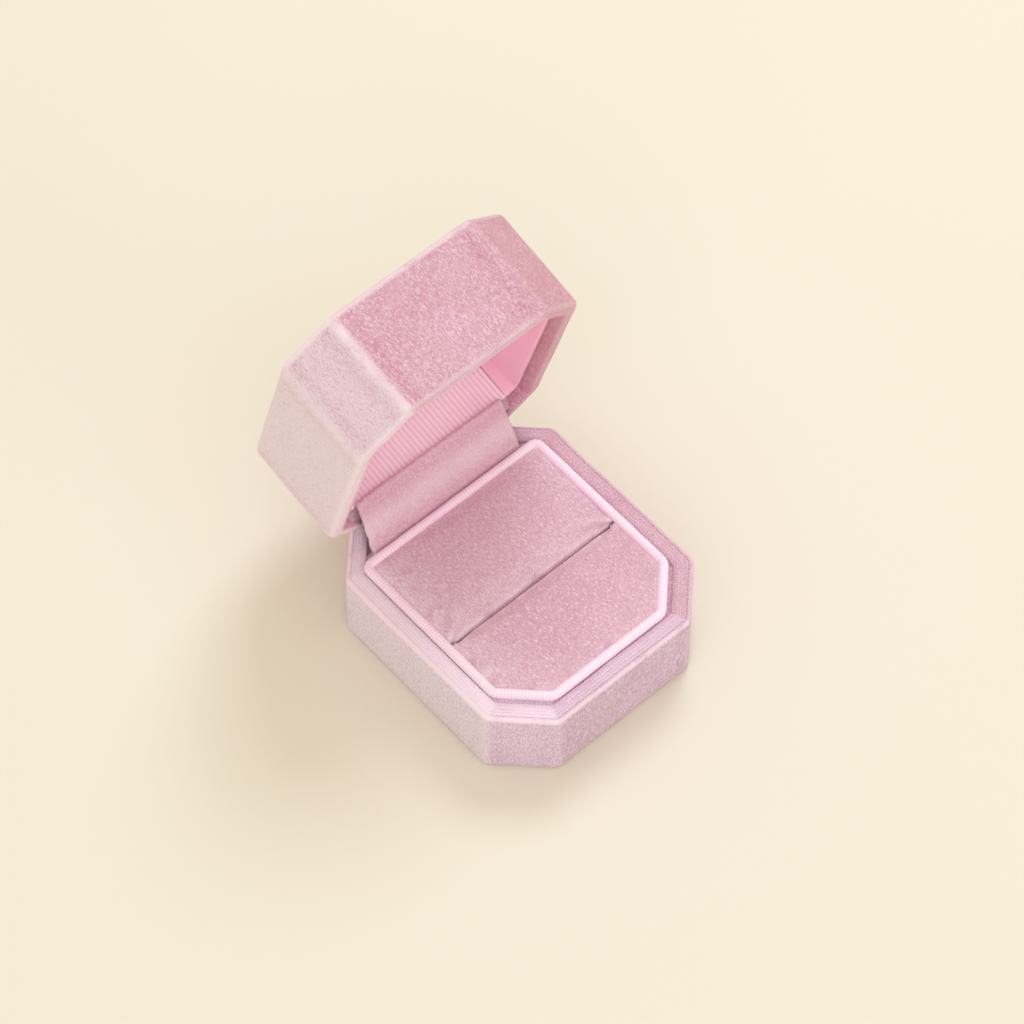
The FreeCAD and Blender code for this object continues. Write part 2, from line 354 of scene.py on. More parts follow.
@dataclass(frozen=True)
class TrayOutline(Outline):
    """An insert or lining with cut front corners.

    Args:
        sizes: The box's sizes.
        half: Half width.
        front: Distance of the front edge from the middle.
        back: Distance of the back edge from the middle.
        cut_back: Cut at the back corners.
        back_radius: Rounding radius of the back corners.
        front_radius: Rounding radius of the front corners.
        least_radius: Smallest rounding radius.
    """

    sizes: BoxSizes
    half: float
    front: float
    back: float
    cut_back: float = 0.0
    back_radius: float = 2.2
    front_radius: float = 3.0
    least_radius: float = 0.6

    def corners(self, inset: float) -> List[Point2]:
        """Give the corner points of the outline drawn in by an inset.

        Args:
            inset: Distance in millimetres.

        Returns:
            The corners in order.
        """
        cut = self.sizes.insert_cut - inset * CUT_LOSS
        rear = max(SMALLEST_CUT, self.cut_back - inset * CUT_LOSS) if self.cut_back > 0 else 0.0
        return cut_plan(self.half - inset, -self.front + inset, self.back - inset, cut, rear)

    def radius(self, inset: float, index: int) -> float:
        """Give the rounding radius of one corner of the outline drawn in by an inset.

        Args:
            inset: Distance in millimetres.
            index: The corner's index.

        Returns:
            The radius in millimetres.
        """
        last_back = 4 if self.cut_back > 0 else 2
        base = self.back_radius if 1 <= index <= last_back else self.front_radius
        return max(self.least_radius, base - inset)


@dataclass(frozen=True)
class PadOutline(Outline):
    """The plan of a pad, with nearly sharp corners at the slit and rounder ones elsewhere."""

    plan: Sequence[Point2]
    at_slit: Tuple[int, int]
    arc_steps: int = 6
    run_step: float = 0.8
    slit_radius: float = 0.12
    edge_radius: float = 0.8
    least_radius: float = 0.4
    radius_loss: float = 0.4

    def corners(self, inset: float) -> List[Point2]:
        """Give the corner points of the plan drawn in by an inset."""
        return shrink(self.plan, inset)

    def radius(self, inset: float, index: int) -> float:
        """Give the rounding radius of one corner of the plan drawn in by an inset."""
        rounded = max(self.least_radius, self.edge_radius - self.radius_loss * inset)
        return self.slit_radius if index in self.at_slit else rounded


@dataclass
class Station:
    """One point of a swept profile.

    Args:
        inset: Distance in from the outline, in millimetres.
        z: Height in millimetres.
        painted_sheen: Painted sheen here, from 0 to 1: paler colour laid where the velvet catches the light.
    """

    inset: float
    z: float
    painted_sheen: float = 0.0


Keep = Callable[[Vector, Station], bool]
PaintedShadeRule = Callable[[Vector, Station], float]


def arc_stations(inset: float, z: float, radius: float, start: float, end: float, steps: int,
                 painted_sheen: float) -> List[Station]:
    """Give stations round a rounded edge.

    Args:
        inset: Inset of the arc's centre.
        z: Height of the arc's centre.
        radius: The arc's radius.
        start: First angle in degrees; 0 points outward and 90 up.
        end: Last angle in degrees.
        steps: Steps along the arc.
        painted_sheen: Painted sheen at the middle of the arc.

    Returns:
        The stations in order.
    """
    found = []
    for k in range(steps + 1):
        part = k / steps
        angle = math.radians(start + (end - start) * part)
        shine = painted_sheen * math.sin(math.pi * part)
        found.append(Station(inset - radius * math.cos(angle), z + radius * math.sin(angle), shine))
    return found


def ridge_stations(start: float, end: float, z: float, count: int, drop: float, least: float,
                   rise: float) -> List[Station]:
    """Give the folded ridges across a rim.

    Args:
        start: First inset.
        end: Last inset.
        z: Height of the ridges' crests.
        count: Number of ridges.
        drop: How far the furrows lie below the crests, negative where they lie above.
        least: Painted sheen in the furrows.
        rise: How much more painted sheen the ridges' crests get.
        rise: How much more the pile is opened on the crests.

    Returns:
        The stations in order.
    """
    found = []
    steps = count * RIDGE_STEPS
    for k in range(steps + 1):
        part = k / steps
        wave = 0.5 - 0.5 * math.cos(2 * math.pi * part * count)
        found.append(Station(start + (end - start) * part, z - drop * (1.0 - wave), least + rise * wave))
    return found


def line_length(line: Sequence[Point2]) -> float:
    """Give the length of a line through points, in the points' unit."""
    return sum(math.dist(a, b) for a, b in zip(line, line[1:]))


def store_weave_and_painted_light(mesh: bpy.types.Mesh, painted_sheen: Sequence[float], nap_and_painted_light: Sequence[float],
               weave: Sequence[Vector]) -> None:
    """Store what the cloth finishes read at each vertex, and shade the mesh smooth.

    Args:
        mesh: The mesh.
        painted_sheen: Painted sheen.
        nap_and_painted_light: Painted light, below 0 where painted shade is laid.
        weave: Place of the vertex when the piece was cut.
    """
    mesh.attributes.new("painted_sheen", "FLOAT", "POINT").data.foreach_set("value", painted_sheen)
    mesh.attributes.new("nap_and_painted_light", "FLOAT", "POINT").data.foreach_set("value", nap_and_painted_light)
    places = mesh.attributes.new("weave", "FLOAT_VECTOR", "POINT")
    places.data.foreach_set("vector", [value for place in weave for value in place])
    mesh.polygons.foreach_set("use_smooth", [True] * len(mesh.polygons))


@dataclass
class MeshData:
    """Vertices, faces, painted sheen and painted light of a mesh that is being made."""

    verts: List[Vector] = field(default_factory=list)
    faces: List[Face] = field(default_factory=list)
    painted_sheen: List[float] = field(default_factory=list)
    nap_and_painted_light: List[float] = field(default_factory=list)

    def add(self, point: Vector, painted_sheen: float = 0.0, nap_and_painted_light: float = 0.25) -> int:
        """Add a vertex.

        Args:
            point: Its place in metres.
            painted_sheen: Painted sheen there.
            nap_and_painted_light: Painted light there, below 0 where painted shade is laid instead.

        Returns:
            Its index.
        """
        self.verts.append(point)
        self.painted_sheen.append(painted_sheen)
        self.nap_and_painted_light.append(nap_and_painted_light)
        return len(self.verts) - 1

    def middle(self, face: Face) -> Vector:
        """Give the middle of a face's corners."""
        return sum((self.verts[v] for v in face), Vector()) / len(face)

    def has_width(self, face: Face) -> bool:
        """Tell whether one of a quad's first and third edges has a length."""
        a, b, c, d = (self.verts[v] for v in face)
        return (a - b).length >= COLLAPSED or (c - d).length >= COLLAPSED

    def bridge(self, low: Sequence[int], high: Sequence[int], closed: bool = True) -> None:
        """Join two rows of vertices with quads.

        Args:
            low: First row.
            high: Second row, as long as the first.
            closed: Whether the rows are rings.
        """
        count = len(low)
        for i in range(count if closed else count - 1):
            j = (i + 1) % count
            self.faces.append((low[i], low[j], high[j], high[i]))

    def make(self, name: str, move: Optional[Matrix] = None) -> Piece:
        """Turn the data into an object.

        Args:
            name: Name of the object.
            move: Turn applied to the vertices.

        Returns:
            The new object, linked to the scene.
        """
        points = [move @ v if move is not None else v for v in self.verts]
        mesh = bpy.data.meshes.new(name)
        mesh.from_pydata([tuple(p) for p in points], [], self.faces)
        store_weave_and_painted_light(mesh, self.painted_sheen, self.nap_and_painted_light, self.verts)
        mesh.validate()
        work = bmesh.new()
        work.from_mesh(mesh)
        loose = [v for v in work.verts if not v.link_faces]
        bmesh.ops.delete(work, geom=loose, context="VERTS")
        bmesh.ops.recalc_face_normals(work, faces=work.faces)
        work.to_mesh(mesh)
        work.free()
        obj = bpy.data.objects.new(name, mesh)
        bpy.context.scene.collection.objects.link(obj)
        return obj


def apply_modifiers(obj: Piece) -> None:
    """Turn an object's modifiers into plain mesh.

    Args:
        obj: The object.
    """
    depsgraph = bpy.context.evaluated_depsgraph_get()
    mesh = bpy.data.meshes.new_from_object(obj.evaluated_get(depsgraph))
    old = obj.data
    obj.modifiers.clear()
    obj.data = mesh
    bpy.data.meshes.remove(old)


@dataclass(frozen=True)
class Ripple:
    """A smooth random unevenness, the same on every run.

    Args:
        size: Length of a wave in millimetres.
        amount: Largest height in millimetres.
        seed: Shift that picks another pattern.
    """

    size: float
    amount: float
    seed: float = 0.0

    def at(self, point: Vector) -> float:
        """Give the height, in metres, at a place in metres."""
        place = point / (self.size * MM) + Vector((self.seed, self.seed * 1.7, self.seed * 0.6))
        return noise.noise(place) * self.amount * MM


def plan_noise(x: float, y: float, wave: float, seed: float) -> float:
    """Give a smooth random value, from -1 to 1, at a place of a plan in millimetres."""
    return noise.noise(Vector((x / wave, y / wave, seed)))


@dataclass(frozen=True)
class Pile:
    """How the pile of a wrap stands, and the painted light, shade and sheen laid on it.

    Args:
        soft: Unevenness of the surface in millimetres.
        bend_painted_sheen: Painted sheen along the upright bends, from 0 to 1.
        outside_to: Inset up to which painted light and bend sheen are laid as on the outside.
        painted_light_power: How sharply the painted light is kept to sides that face left.
        proud: How far the pile stands proud of the front and the sides, in millimetres.
        painted_shade: Share of painted shade, from the direction outward and the station.
        sideways_wave: Wave of the unevenness sideways, in millimetres.
        upright_wave: Wave of the unevenness in height, in millimetres.
        upright_share: Share of the unevenness that is in height.
        upright_seed: Seed of the unevenness in height.
        proud_to: Inset at which the pile stands proud no more.
        back_turn: Part of the direction outward that points back where it stands proud no more.
        level: Middle of the randomly uneven strength of the painted sheen and light.
        painted_sheen_gain: How much more painted sheen the profile's ridges and edges get than the bends.
        clouds: Broad random unevenness of the painted sheen and light.
        flecks: Fine random unevenness of the painted sheen and light.
        side_turn: Part of the direction outward that points left or right on a side.
        left_painted_sheen: Gain of the painted sheen on the left, where the light falls.
        right_painted_sheen: Gain of the painted sheen on the right.
        right_bend_painted_sheen: Share of the painted sheen on bends that point right.
        painted_light_base: Painted light where the side points neither left nor right.
        painted_light_turn: How much more painted light is laid on the left.
        painted_shade_beside: How much painted shade is laid beside a bend with painted sheen.
    """

    soft: float = 0.0
    bend_painted_sheen: float = 0.0
    outside_to: float = 2.0
    painted_light_power: float = 1.0
    proud: float = 0.0
    painted_shade: Optional[PaintedShadeRule] = None
    sideways_wave: float = 7.0
    upright_wave: float = 6.0
    upright_share: float = 0.5
    upright_seed: float = 3.0
    proud_to: float = 2.0
    back_turn: float = 0.6
    level: float = 0.75
    painted_sheen_gain: float = 0.25
    clouds: Ripple = Ripple(3.5, 0.6, 11.0)
    flecks: Ripple = Ripple(1.3, 0.5, 6.0)
    side_turn: float = 0.3
    left_painted_sheen: float = 1.6
    right_painted_sheen: float = 0.6
    right_bend_painted_sheen: float = 0.3
    painted_light_base: float = 0.2
    painted_light_turn: float = 0.8
    painted_shade_beside: float = 0.3

    def stand(self, outward: Vector, inset: float) -> float:
        """Give how far the pile stands proud, in millimetres."""
        on_side = max(0.0, 1.0 - inset / self.proud_to)
        return self.proud * on_side * min(1.0, max(0.0, 1.0 - outward.y / self.back_turn))

    def moved(self, point: Vector, outward: Vector, inset: float) -> Vector:
        """Give a point of the wrap with its unevenness and its standing pile.

        Args:
            point: The even place in metres.
            outward: The direction outward.
            inset: Distance in from the outline, in millimetres.

        Returns:
            The uneven place.
        """
        sideways = Ripple(self.sideways_wave, self.soft)
        upright = Ripple(self.upright_wave, self.soft * self.upright_share, self.upright_seed)
        place = point + outward * (sideways.at(point) + self.stand(outward, inset) * MM)
        place.z += upright.at(place)
        return place

    def uneven(self, point: Vector) -> float:
        """Give the randomly uneven strength of the painted sheen and light at a place in metres."""
        return self.level + (self.clouds.at(point) + self.flecks.at(point)) / MM

    def painted_sheen_level(self, station: Station, outward: Vector, bend: float, uneven: float) -> float:
        """Give the painted sheen, laid where a bend or a ridge catches the light.

        Args:
            station: Point of the profile.
            outward: The direction outward.
            bend: How far the place lies on a bend.
            uneven: The uneven strength there.

        Returns:
            The painted sheen, from 0 up.
        """
        lit = 1.0
        if abs(outward.x) > self.side_turn:
            lit = self.left_painted_sheen if outward.x < 0 else self.right_painted_sheen
        painted_sheen = min(1.0, station.painted_sheen * min(1.0, uneven + self.painted_sheen_gain) * lit)
        if station.inset < self.outside_to:
            turned = self.right_bend_painted_sheen if outward.x > 0 else 1.0
            painted_sheen = max(painted_sheen, self.bend_painted_sheen * bend * uneven * turned)
        return painted_sheen

    def painted_lightness(self, station: Station, outward: Vector, beside: float, uneven: float) -> float:
        """Give the painted light, more on sides that face left, and painted shade below 0.

        Args:
            station: Point of the profile.
            outward: The direction outward.
            beside: How near beside a bend the place lies.
            uneven: The uneven strength there.

        Returns:
            The painted light, below 0 where painted shade is laid.
        """
        nap_and_painted_light = 0.0
        if station.inset < self.outside_to:
            side = math.copysign(abs(outward.x) ** self.painted_light_power, outward.x)
            nap_and_painted_light = max(0.0, self.painted_light_base - self.painted_light_turn * side)
        nap_and_painted_light = max(0.0, nap_and_painted_light - self.bend_painted_sheen * self.painted_shade_beside * beside * uneven)
        return nap_and_painted_light if self.painted_shade is None else nap_and_painted_light - self.painted_shade(outward, station)


def sweep(outline: Outline, stations: Sequence[Station], pile: Pile = Pile(),
          keep: Optional[Keep] = None) -> MeshData:
    """Sweep a profile round an outline.

    Args:
        outline: Plan outline.
        stations: Profile points in order.
        pile: How the pile stands, and the painted light, shade and sheen laid on it.
        keep: Test for the faces that stay, from a face's middle and its first station.

    Returns:
        The swept mesh data.
    """
    data = MeshData()
    rings: List[List[int]] = []
    bends = outline.bends()
    for station in stations:
        ring = []
        flat = outline.ring(station.inset)
        for i, (x, y) in enumerate(flat):
            ahead, behind = flat[(i + 1) % len(flat)], flat[i - 1]
            outward = Vector((ahead[1] - behind[1], behind[0] - ahead[0], 0.0)).normalized()
            point = pile.moved(Vector((x * MM, y * MM, station.z * MM)), outward, station.inset)
            # Painted sheen and painted light of the point, randomly uneven.
            uneven = pile.uneven(point)
            bend, beside = bends[i]
            painted_sheen = pile.painted_sheen_level(station, outward, bend, uneven)
            ring.append(data.add(point, painted_sheen, pile.painted_lightness(station, outward, beside, uneven)))
        rings.append(ring)
    for low, high, station in zip(rings, rings[1:], stations):
        start = len(data.faces)
        data.bridge(low, high)
        if keep is not None:
            data.faces[start:] = [f for f in data.faces[start:] if keep(data.middle(f), station)]
    return data


class Swatch:
    """A material whose nodes are being mixed."""

    def __init__(self, name: str) -> None:
        """Start a material with one principled shader.

        Args:
            name: Name of the material.
        """
        self.material = bpy.data.materials.new(name)
        self.material.use_nodes = True
        self.tree = self.material.node_tree
        self.tree.nodes.clear()
        out = self.node("OutputMaterial")
        self.shader = self.node("BsdfPrincipled")
        self.link(self.shader.outputs["BSDF"], out.inputs["Surface"])

    def node(self, kind: str) -> bpy.types.Node:
        """Add a shader node of a kind."""
        return self.tree.nodes.new("ShaderNode" + kind)

    def link(self, source: Socket, target: Socket) -> None:
        """Join two sockets."""
        self.tree.links.new(source, target)

    def stored(self, name: str, output: str = "Fac") -> Socket:
        """Add a node that reads what a mesh stores.

        Args:
            name: Name of the stored values.
            output: Output that is wanted.

        Returns:
            The output's socket.
        """
        node = self.node("Attribute")
        node.attribute_name = name
        return node.outputs[output]

    def stretched(self, source: Socket, scale: Point3, turn: Point3) -> Socket:
        """Stretch and turn coordinates.

        Args:
            source: The coordinates.
            scale: Stretch along each axis.
            turn: Turn in degrees.

        Returns:
            The stretched coordinates.
        """
        mapping = self.node("Mapping")
        mapping.inputs["Scale"].default_value = scale
        mapping.inputs["Rotation"].default_value = tuple(math.radians(a) for a in turn)
        self.link(source, mapping.inputs["Vector"])
        return mapping.outputs["Vector"]

    def woven(self, scale: Point3 = (1.0, 1.0, 1.0), turn: Point3 = (0.0, 0.0, 0.0)) -> Socket:
        """Give the coordinates that a cloth piece was cut in, stretched and turned."""
        return self.stretched(self.stored("weave", "Vector"), scale, turn)

    def placed(self, scale: Point3 = (1.0, 1.0, 1.0)) -> Socket:
        """Give an object's own coordinates, stretched."""
        return self.stretched(self.node("TexCoord").outputs["Object"], scale, (0.0, 0.0, 0.0))

    def grained(self, vector: Socket, scale: float, detail: float = 2.0, rough: float = 0.5) -> Socket:
        """Add a noise texture.

        Args:
            vector: Coordinates.
            scale: Scale of the noise.
            detail: Number of octaves.
            rough: Strength of the fine octaves.

        Returns:
            The value socket.
        """
        node = self.node("TexNoise")
        node.inputs["Scale"].default_value = scale
        node.inputs["Detail"].default_value = detail
        node.inputs["Roughness"].default_value = rough
        self.link(vector, node.inputs["Vector"])
        return node.outputs["Fac"]

    def ramp(self, value: Socket, limits: Point2) -> Socket:
        """Stretch a value between two limits smoothly to the range 0 to 1.

        Args:
            value: Input socket.
            limits: Value that becomes 0 and value that becomes 1.

        Returns:
            The stretched value.
        """
        node = self.node("MapRange")
        node.inputs["From Min"].default_value, node.inputs["From Max"].default_value = limits
        node.interpolation_type = "SMOOTHSTEP"
        self.link(value, node.inputs["Value"])
        return node.outputs["Result"]

    def scaled(self, value: Socket, factor: float) -> Socket:
        """Multiply a value.

        Args:
            value: Input socket.
            factor: Multiplier.

        Returns:
            The product.
        """
        node = self.node("Math")
        node.operation = "MULTIPLY"
        node.inputs[1].default_value = factor
        self.link(value, node.inputs[0])
        return node.outputs["Value"]

    def mixed(self, part: Socket, first: Union[Colour, Socket], second: Union[Colour, Socket]) -> Socket:
        """Mix two colours.

        Args:
            part: Share of the second colour.
            first: Colour or socket.
            second: Colour or socket.

        Returns:
            The mixed colour.
        """
        node = self.node("Mix")
        node.data_type = "RGBA"
        self.link(part, node.inputs["Factor"])
        for key, value in (("A", first), ("B", second)):
            socket = [s for s in node.inputs if s.name == key and s.type == "RGBA"][0]
            if isinstance(value, Socket):
                self.link(value, socket)
            else:
                socket.default_value = value
        return [s for s in node.outputs if s.type == "RGBA"][0]

    def dusted(self, colour: Union[Colour, Socket], pattern: Socket, limits: Point2, share: float,
               dust: Union[Colour, Socket]) -> Socket:
        """Dust a colour over another where a pattern is high.

        Args:
            colour: The colour below.
            pattern: The pattern.
            limits: Values of the pattern where the dusting starts and is full.
            share: Share of the dusted colour where it is full.
            dust: The dusted colour.

        Returns:
            The dusted colour.
        """
        return self.mixed(self.scaled(self.ramp(pattern, limits), share), colour, dust)

    def finish(self, colour: Socket, values: Dict[str, Union[float, Colour]]) -> None:
        """Give the shader its colour and its plain values.

        Args:
            colour: The colour.
            values: Plain values by the shader's input.
        """
        self.link(colour, self.shader.inputs["Base Color"])
        for name, value in values.items():
            self.shader.inputs[name].default_value = value

    def bumped(self, height: Socket, strength: float, distance: float) -> None:
        """Add a bump to the shader.

        Args:
            height: Height field.
            strength: Strength of the bump.
            distance: Height of the bump in millimetres.
        """
        node = self.node("Bump")
        node.inputs["Strength"].default_value = strength
        node.inputs["Distance"].default_value = distance * MM
        self.link(height, node.inputs["Height"])
        self.link(node.outputs["Normal"], self.shader.inputs["Normal"])


@dataclass(frozen=True)
class Finish:
    """A finish that builds one node material."""

    name: str
    slot: Slot

    def build(self) -> Material:
        """Make the material.

        Returns:
            The finished material.
        """
        swatch = Swatch(self.name)
        self.dress(swatch)
        return swatch.material

    def dress(self, swatch: Swatch) -> None:
        """Add the nodes of this finish to a new material."""
        raise NotImplementedError


@dataclass(frozen=True)
class VelvetFinish(Finish):
    """Short-pile velvet: pile-tip speckle, streaks, clouds, painted light and shade on sides, painted sheen on
    edges.
    """

    deep: Colour = srgb(188, 112, 134)
    body: Colour = srgb(208, 147, 168)
    # The pale colour dusts the grain's pile tips and is also laid as painted sheen on edges and ridges.
    pale: Colour = srgb(248, 228, 238)
    # Painted light: a paler tint laid on sides that face left and on the lid's top.
    painted_light_tint: Colour = srgb(247, 237, 251)
    # Painted shade: a deeper tint laid on sides that face right and on top of the base's rim.
    painted_shade: Colour = srgb(190, 112, 124)
    # Share of the painted light tint where the stored light value is 1.
    painted_lightness: float = 0.9
    cloud: float = 0.35
    grain: float = 0.52
    deep_share: float = 0.85
    speckle_mm: float = 0.17
    streak_mm: float = 0.21
    cloud_mm: float = 14.0
    cloud_limits: Point2 = (0.62, 0.38)
    pale_limits: Point2 = (0.5, 0.7)
    deep_limits: Point2 = (0.5, 0.3)
    nap_and_painted_light: Point3 = (1.0, 1.0, 0.3)
    sheen: float = 0.7
    sheen_tint: Colour = srgb(250, 232, 232)

    def dress(self, swatch: Swatch) -> None:
        """Add the nodes of this finish.

        Args:
            swatch: The new material.
        """
        plain = swatch.woven()
        tips = swatch.grained(plain, 1.0 / (self.speckle_mm * MM), rough=0.7)
        streak = swatch.grained(swatch.woven(self.nap_and_painted_light), 1.0 / (self.streak_mm * MM), rough=0.6)
        cloud = swatch.grained(plain, 1.0 / (self.cloud_mm * MM), detail=3.0)
        colour = swatch.dusted(self.body, cloud, self.cloud_limits, self.cloud, self.deep)
        # Painted light and painted shade from the stored value: paler above 0, deeper below 0.
        nap_and_painted_light = swatch.stored("nap_and_painted_light")
        colour = swatch.mixed(swatch.scaled(nap_and_painted_light, self.painted_lightness), colour, self.painted_light_tint)
        colour = swatch.mixed(swatch.scaled(nap_and_painted_light, -1.0), colour, self.painted_shade)
        for pattern in (streak, tips):
            colour = swatch.dusted(colour, pattern, self.pale_limits, self.grain, self.pale)
            colour = swatch.dusted(colour, pattern, self.deep_limits, self.grain * self.deep_share, self.deep)
        # Painted sheen: the pale colour laid where the stored sheen value is high.
        colour = swatch.mixed(swatch.stored("painted_sheen"), colour, self.pale)
        swatch.finish(colour, {
            "Roughness": 0.92, "Specular IOR Level": 0.15, "Sheen Weight": self.sheen,
            "Sheen Roughness": 0.38, "Sheen Tint": self.sheen_tint,
        })
        swatch.bumped(tips, strength=0.55, distance=0.12)


@dataclass(frozen=True)
class RibbonFinish(Finish):
    """Ribbed grosgrain: bright pink yarn, a soft silky gloss, fine cross threads and painted highlights on the
    ribs.
    """

    body: Colour = srgb(255, 213, 241)
    pale: Colour = srgb(255, 248, 254)
    thread_mm: float = 0.16
    thread_stretch: float = 1.6
    thread_limits: Point2 = (0.5, 0.75)
    thread_share: float = 0.3
    cloud_scale: float = 160.0
    cloud_limits: Point2 = (0.45, 0.65)
    cloud_share: float = 0.2
    painted_sheen_share: float = 0.85

    def dress(self, swatch: Swatch) -> None:
        """Add the nodes of this finish.

        Args:
            swatch: The new material.
        """
        plain = swatch.woven()
        threads = swatch.grained(plain, 1.0 / (self.thread_mm * MM) / self.thread_stretch)
        cloud = swatch.grained(plain, self.cloud_scale)
        # Painted highlight on the rib crests and painted shade in the grooves, from the stored sheen value.
        colour = swatch.mixed(swatch.scaled(swatch.stored("painted_sheen"), self.painted_sheen_share), self.body, self.pale)
        colour = swatch.dusted(colour, threads, self.thread_limits, self.thread_share, self.pale)
        colour = swatch.dusted(colour, cloud, self.cloud_limits, self.cloud_share, self.body)
        swatch.finish(colour, {"Roughness": 0.5, "Specular IOR Level": 0.4, "Sheen Weight": 0.25})
        swatch.bumped(threads, strength=0.35, distance=0.06)


@dataclass(frozen=True)
class SatinFinish(Finish):
    """Smooth satin lining with a fine twill and a soft stretched gloss."""

    body: Colour = srgb(255, 193, 218)
    pale: Colour = srgb(255, 210, 228)
    twill: Point3 = (1.0, 1.0, 0.2)
    twill_turn: Point3 = (20.0, 0.0, 0.0)
    thread_scale: float = 5200.0
    thread_limits: Point2 = (0.5, 0.8)
    thread_share: float = 0.25
    cloud_scale: float = 120.0
    cloud_limits: Point2 = (0.35, 0.7)
    cloud_share: float = 0.35

    def dress(self, swatch: Swatch) -> None:
        """Add the nodes of this finish.

        Args:
            swatch: The new material.
        """
        threads = swatch.grained(swatch.woven(self.twill, self.twill_turn), self.thread_scale)
        cloud = swatch.grained(swatch.woven(), self.cloud_scale)
        colour = swatch.dusted(self.body, cloud, self.cloud_limits, self.cloud_share, self.pale)
        colour = swatch.dusted(colour, threads, self.thread_limits, self.thread_share, self.pale)
        swatch.finish(colour, {"Roughness": 0.38, "Anisotropic": 0.4, "Sheen Weight": 0.2})
        swatch.bumped(threads, strength=0.15, distance=0.03)


@dataclass(frozen=True)
class FibreFinish(Finish):
    """Plain matte fibre: tinted board, felt, foam or cotton."""

    body: Colour = srgb(186, 142, 152)
    fleck: Colour = srgb(160, 116, 128)
    fleck_mm: float = 0.4
    fleck_limits: Point2 = (0.55, 0.7)
    fleck_share: float = 0.6
    cloud_scale: float = 200.0
    cloud_limits: Point2 = (0.4, 0.7)
    cloud_share: float = 0.25

    def dress(self, swatch: Swatch) -> None:
        """Add the nodes of this finish.

        Args:
            swatch: The new material.
        """
        plain = swatch.placed()
        flecks = swatch.grained(plain, 1.0 / (self.fleck_mm * MM), detail=3.0, rough=0.6)
        cloud = swatch.grained(plain, self.cloud_scale)
        colour = swatch.dusted(self.body, flecks, self.fleck_limits, self.fleck_share, self.fleck)
        colour = swatch.dusted(colour, cloud, self.cloud_limits, self.cloud_share, self.fleck)
        swatch.finish(colour, {"Roughness": 0.95})
        swatch.bumped(flecks, strength=0.3, distance=0.08)


@dataclass(frozen=True)
class MetalFinish(Finish):
    """Plated hinge metal with drawn lines and dull smudges."""

    body: Colour = srgb(196, 192, 184)
    dull: Colour = srgb(150, 146, 138)
    drawn: Point3 = (0.06, 1.0, 1.0)
    line_scale: float = 4200.0
    smudge_scale: float = 260.0
    smudge_limits: Point2 = (0.4, 0.7)
    smudge_share: float = 0.6
    bright_rough: float = 0.24
    dull_rough: float = 0.46

    def dress(self, swatch: Swatch) -> None:
        """Add the nodes of this finish.

        Args:
            swatch: The new material.
        """
        lines = swatch.grained(swatch.placed(self.drawn), self.line_scale)
        smudge = swatch.grained(swatch.placed(), self.smudge_scale, detail=3.0)
        colour = swatch.dusted(self.body, smudge, self.smudge_limits, self.smudge_share, self.dull)
        swatch.finish(colour, {"Metallic": 1.0})
        rough = swatch.node("MapRange")
        rough.inputs["To Min"].default_value = self.bright_rough
        rough.inputs["To Max"].default_value = self.dull_rough
        swatch.link(smudge, rough.inputs["Value"])
        swatch.link(rough.outputs["Result"], swatch.shader.inputs["Roughness"])
        swatch.bumped(lines, strength=0.12, distance=0.02)


class Wardrobe:
    """All finishes of the box, built once."""

    def __init__(self) -> None:
        """Build every finish, the one that dresses a slot's solids before the others of that slot."""
        self.by_slot: Dict[str, Material] = {}
        # Each velvet finish lays a painted light tint, a painted shade tint and painted sheen from values
        # stored per piece.
        self.velvet = self.add(VelvetFinish("lid_velvet_pile", Slot.VELVET))
        self.base_velvet = self.add(VelvetFinish(
            "base_velvet_pile", Slot.VELVET, deep=srgb(178, 126, 156), body=srgb(200, 167, 195),
            pale=srgb(251, 227, 241), painted_light_tint=srgb(240, 232, 248), speckle_mm=0.2, streak_mm=0.27, grain=0.66,
        ))
        self.cushion = self.add(VelvetFinish(
            "cushion_velvet", Slot.CUSHION, deep=srgb(198, 148, 168), body=srgb(214, 167, 186),
            pale=srgb(248, 222, 232), cloud=0.6, cloud_mm=16.0, nap_and_painted_light=(1.0, 0.3, 1.0), sheen=0.6, painted_lightness=0.6,
            speckle_mm=0.18, streak_mm=0.24, grain=0.7,
        ))
        self.strip = self.add(VelvetFinish(
            "strip_velvet", Slot.VELVET, deep=srgb(204, 146, 166), body=srgb(226, 176, 196),
            nap_and_painted_light=(0.4, 1.0, 1.0),
        ))
        self.ribbon = self.add(RibbonFinish("ribbed_ribbon", Slot.RIBBON))
        self.lining = self.add(RibbonFinish(
            "ribbed_lining", Slot.RIBBON, body=srgb(255, 204, 231), pale=srgb(255, 254, 255),
        ))
        self.satin = self.add(SatinFinish("satin_lining", Slot.SATIN))
        for finish in (
            FibreFinish("felt", Slot.FELT, srgb(176, 128, 136), srgb(150, 102, 112), 0.5),
            FibreFinish("foam", Slot.FOAM, srgb(226, 212, 208), srgb(200, 184, 180), 0.6),
            FibreFinish("tinted_board", Slot.BOARD),
            FibreFinish("cord", Slot.CORD, srgb(228, 220, 214), srgb(206, 196, 190), 0.3),
            MetalFinish("hinge_steel", Slot.STEEL),
            MetalFinish("rivet_brass", Slot.BRASS, srgb(206, 172, 104), srgb(160, 128, 72)),
        ):
            self.add(finish)

    def add(self, finish: Finish) -> Material:
        """Build a finish; the first one of a slot also dresses that slot's solids.

        Args:
            finish: The finish.

        Returns:
            Its material.
        """
        material = finish.build()
        self.by_slot.setdefault(finish.slot.value, material)
        return material

    def dress_nodes(self) -> None:
        """Give every solid of the frame its finish."""
        slots = {part["node"]: part["material_slot"] for part in frame["record"]["subparts"]}
        for name, obj in frame["nodes"].items():
            obj.data.materials.clear()
            obj.data.materials.append(self.by_slot[slots[name]])


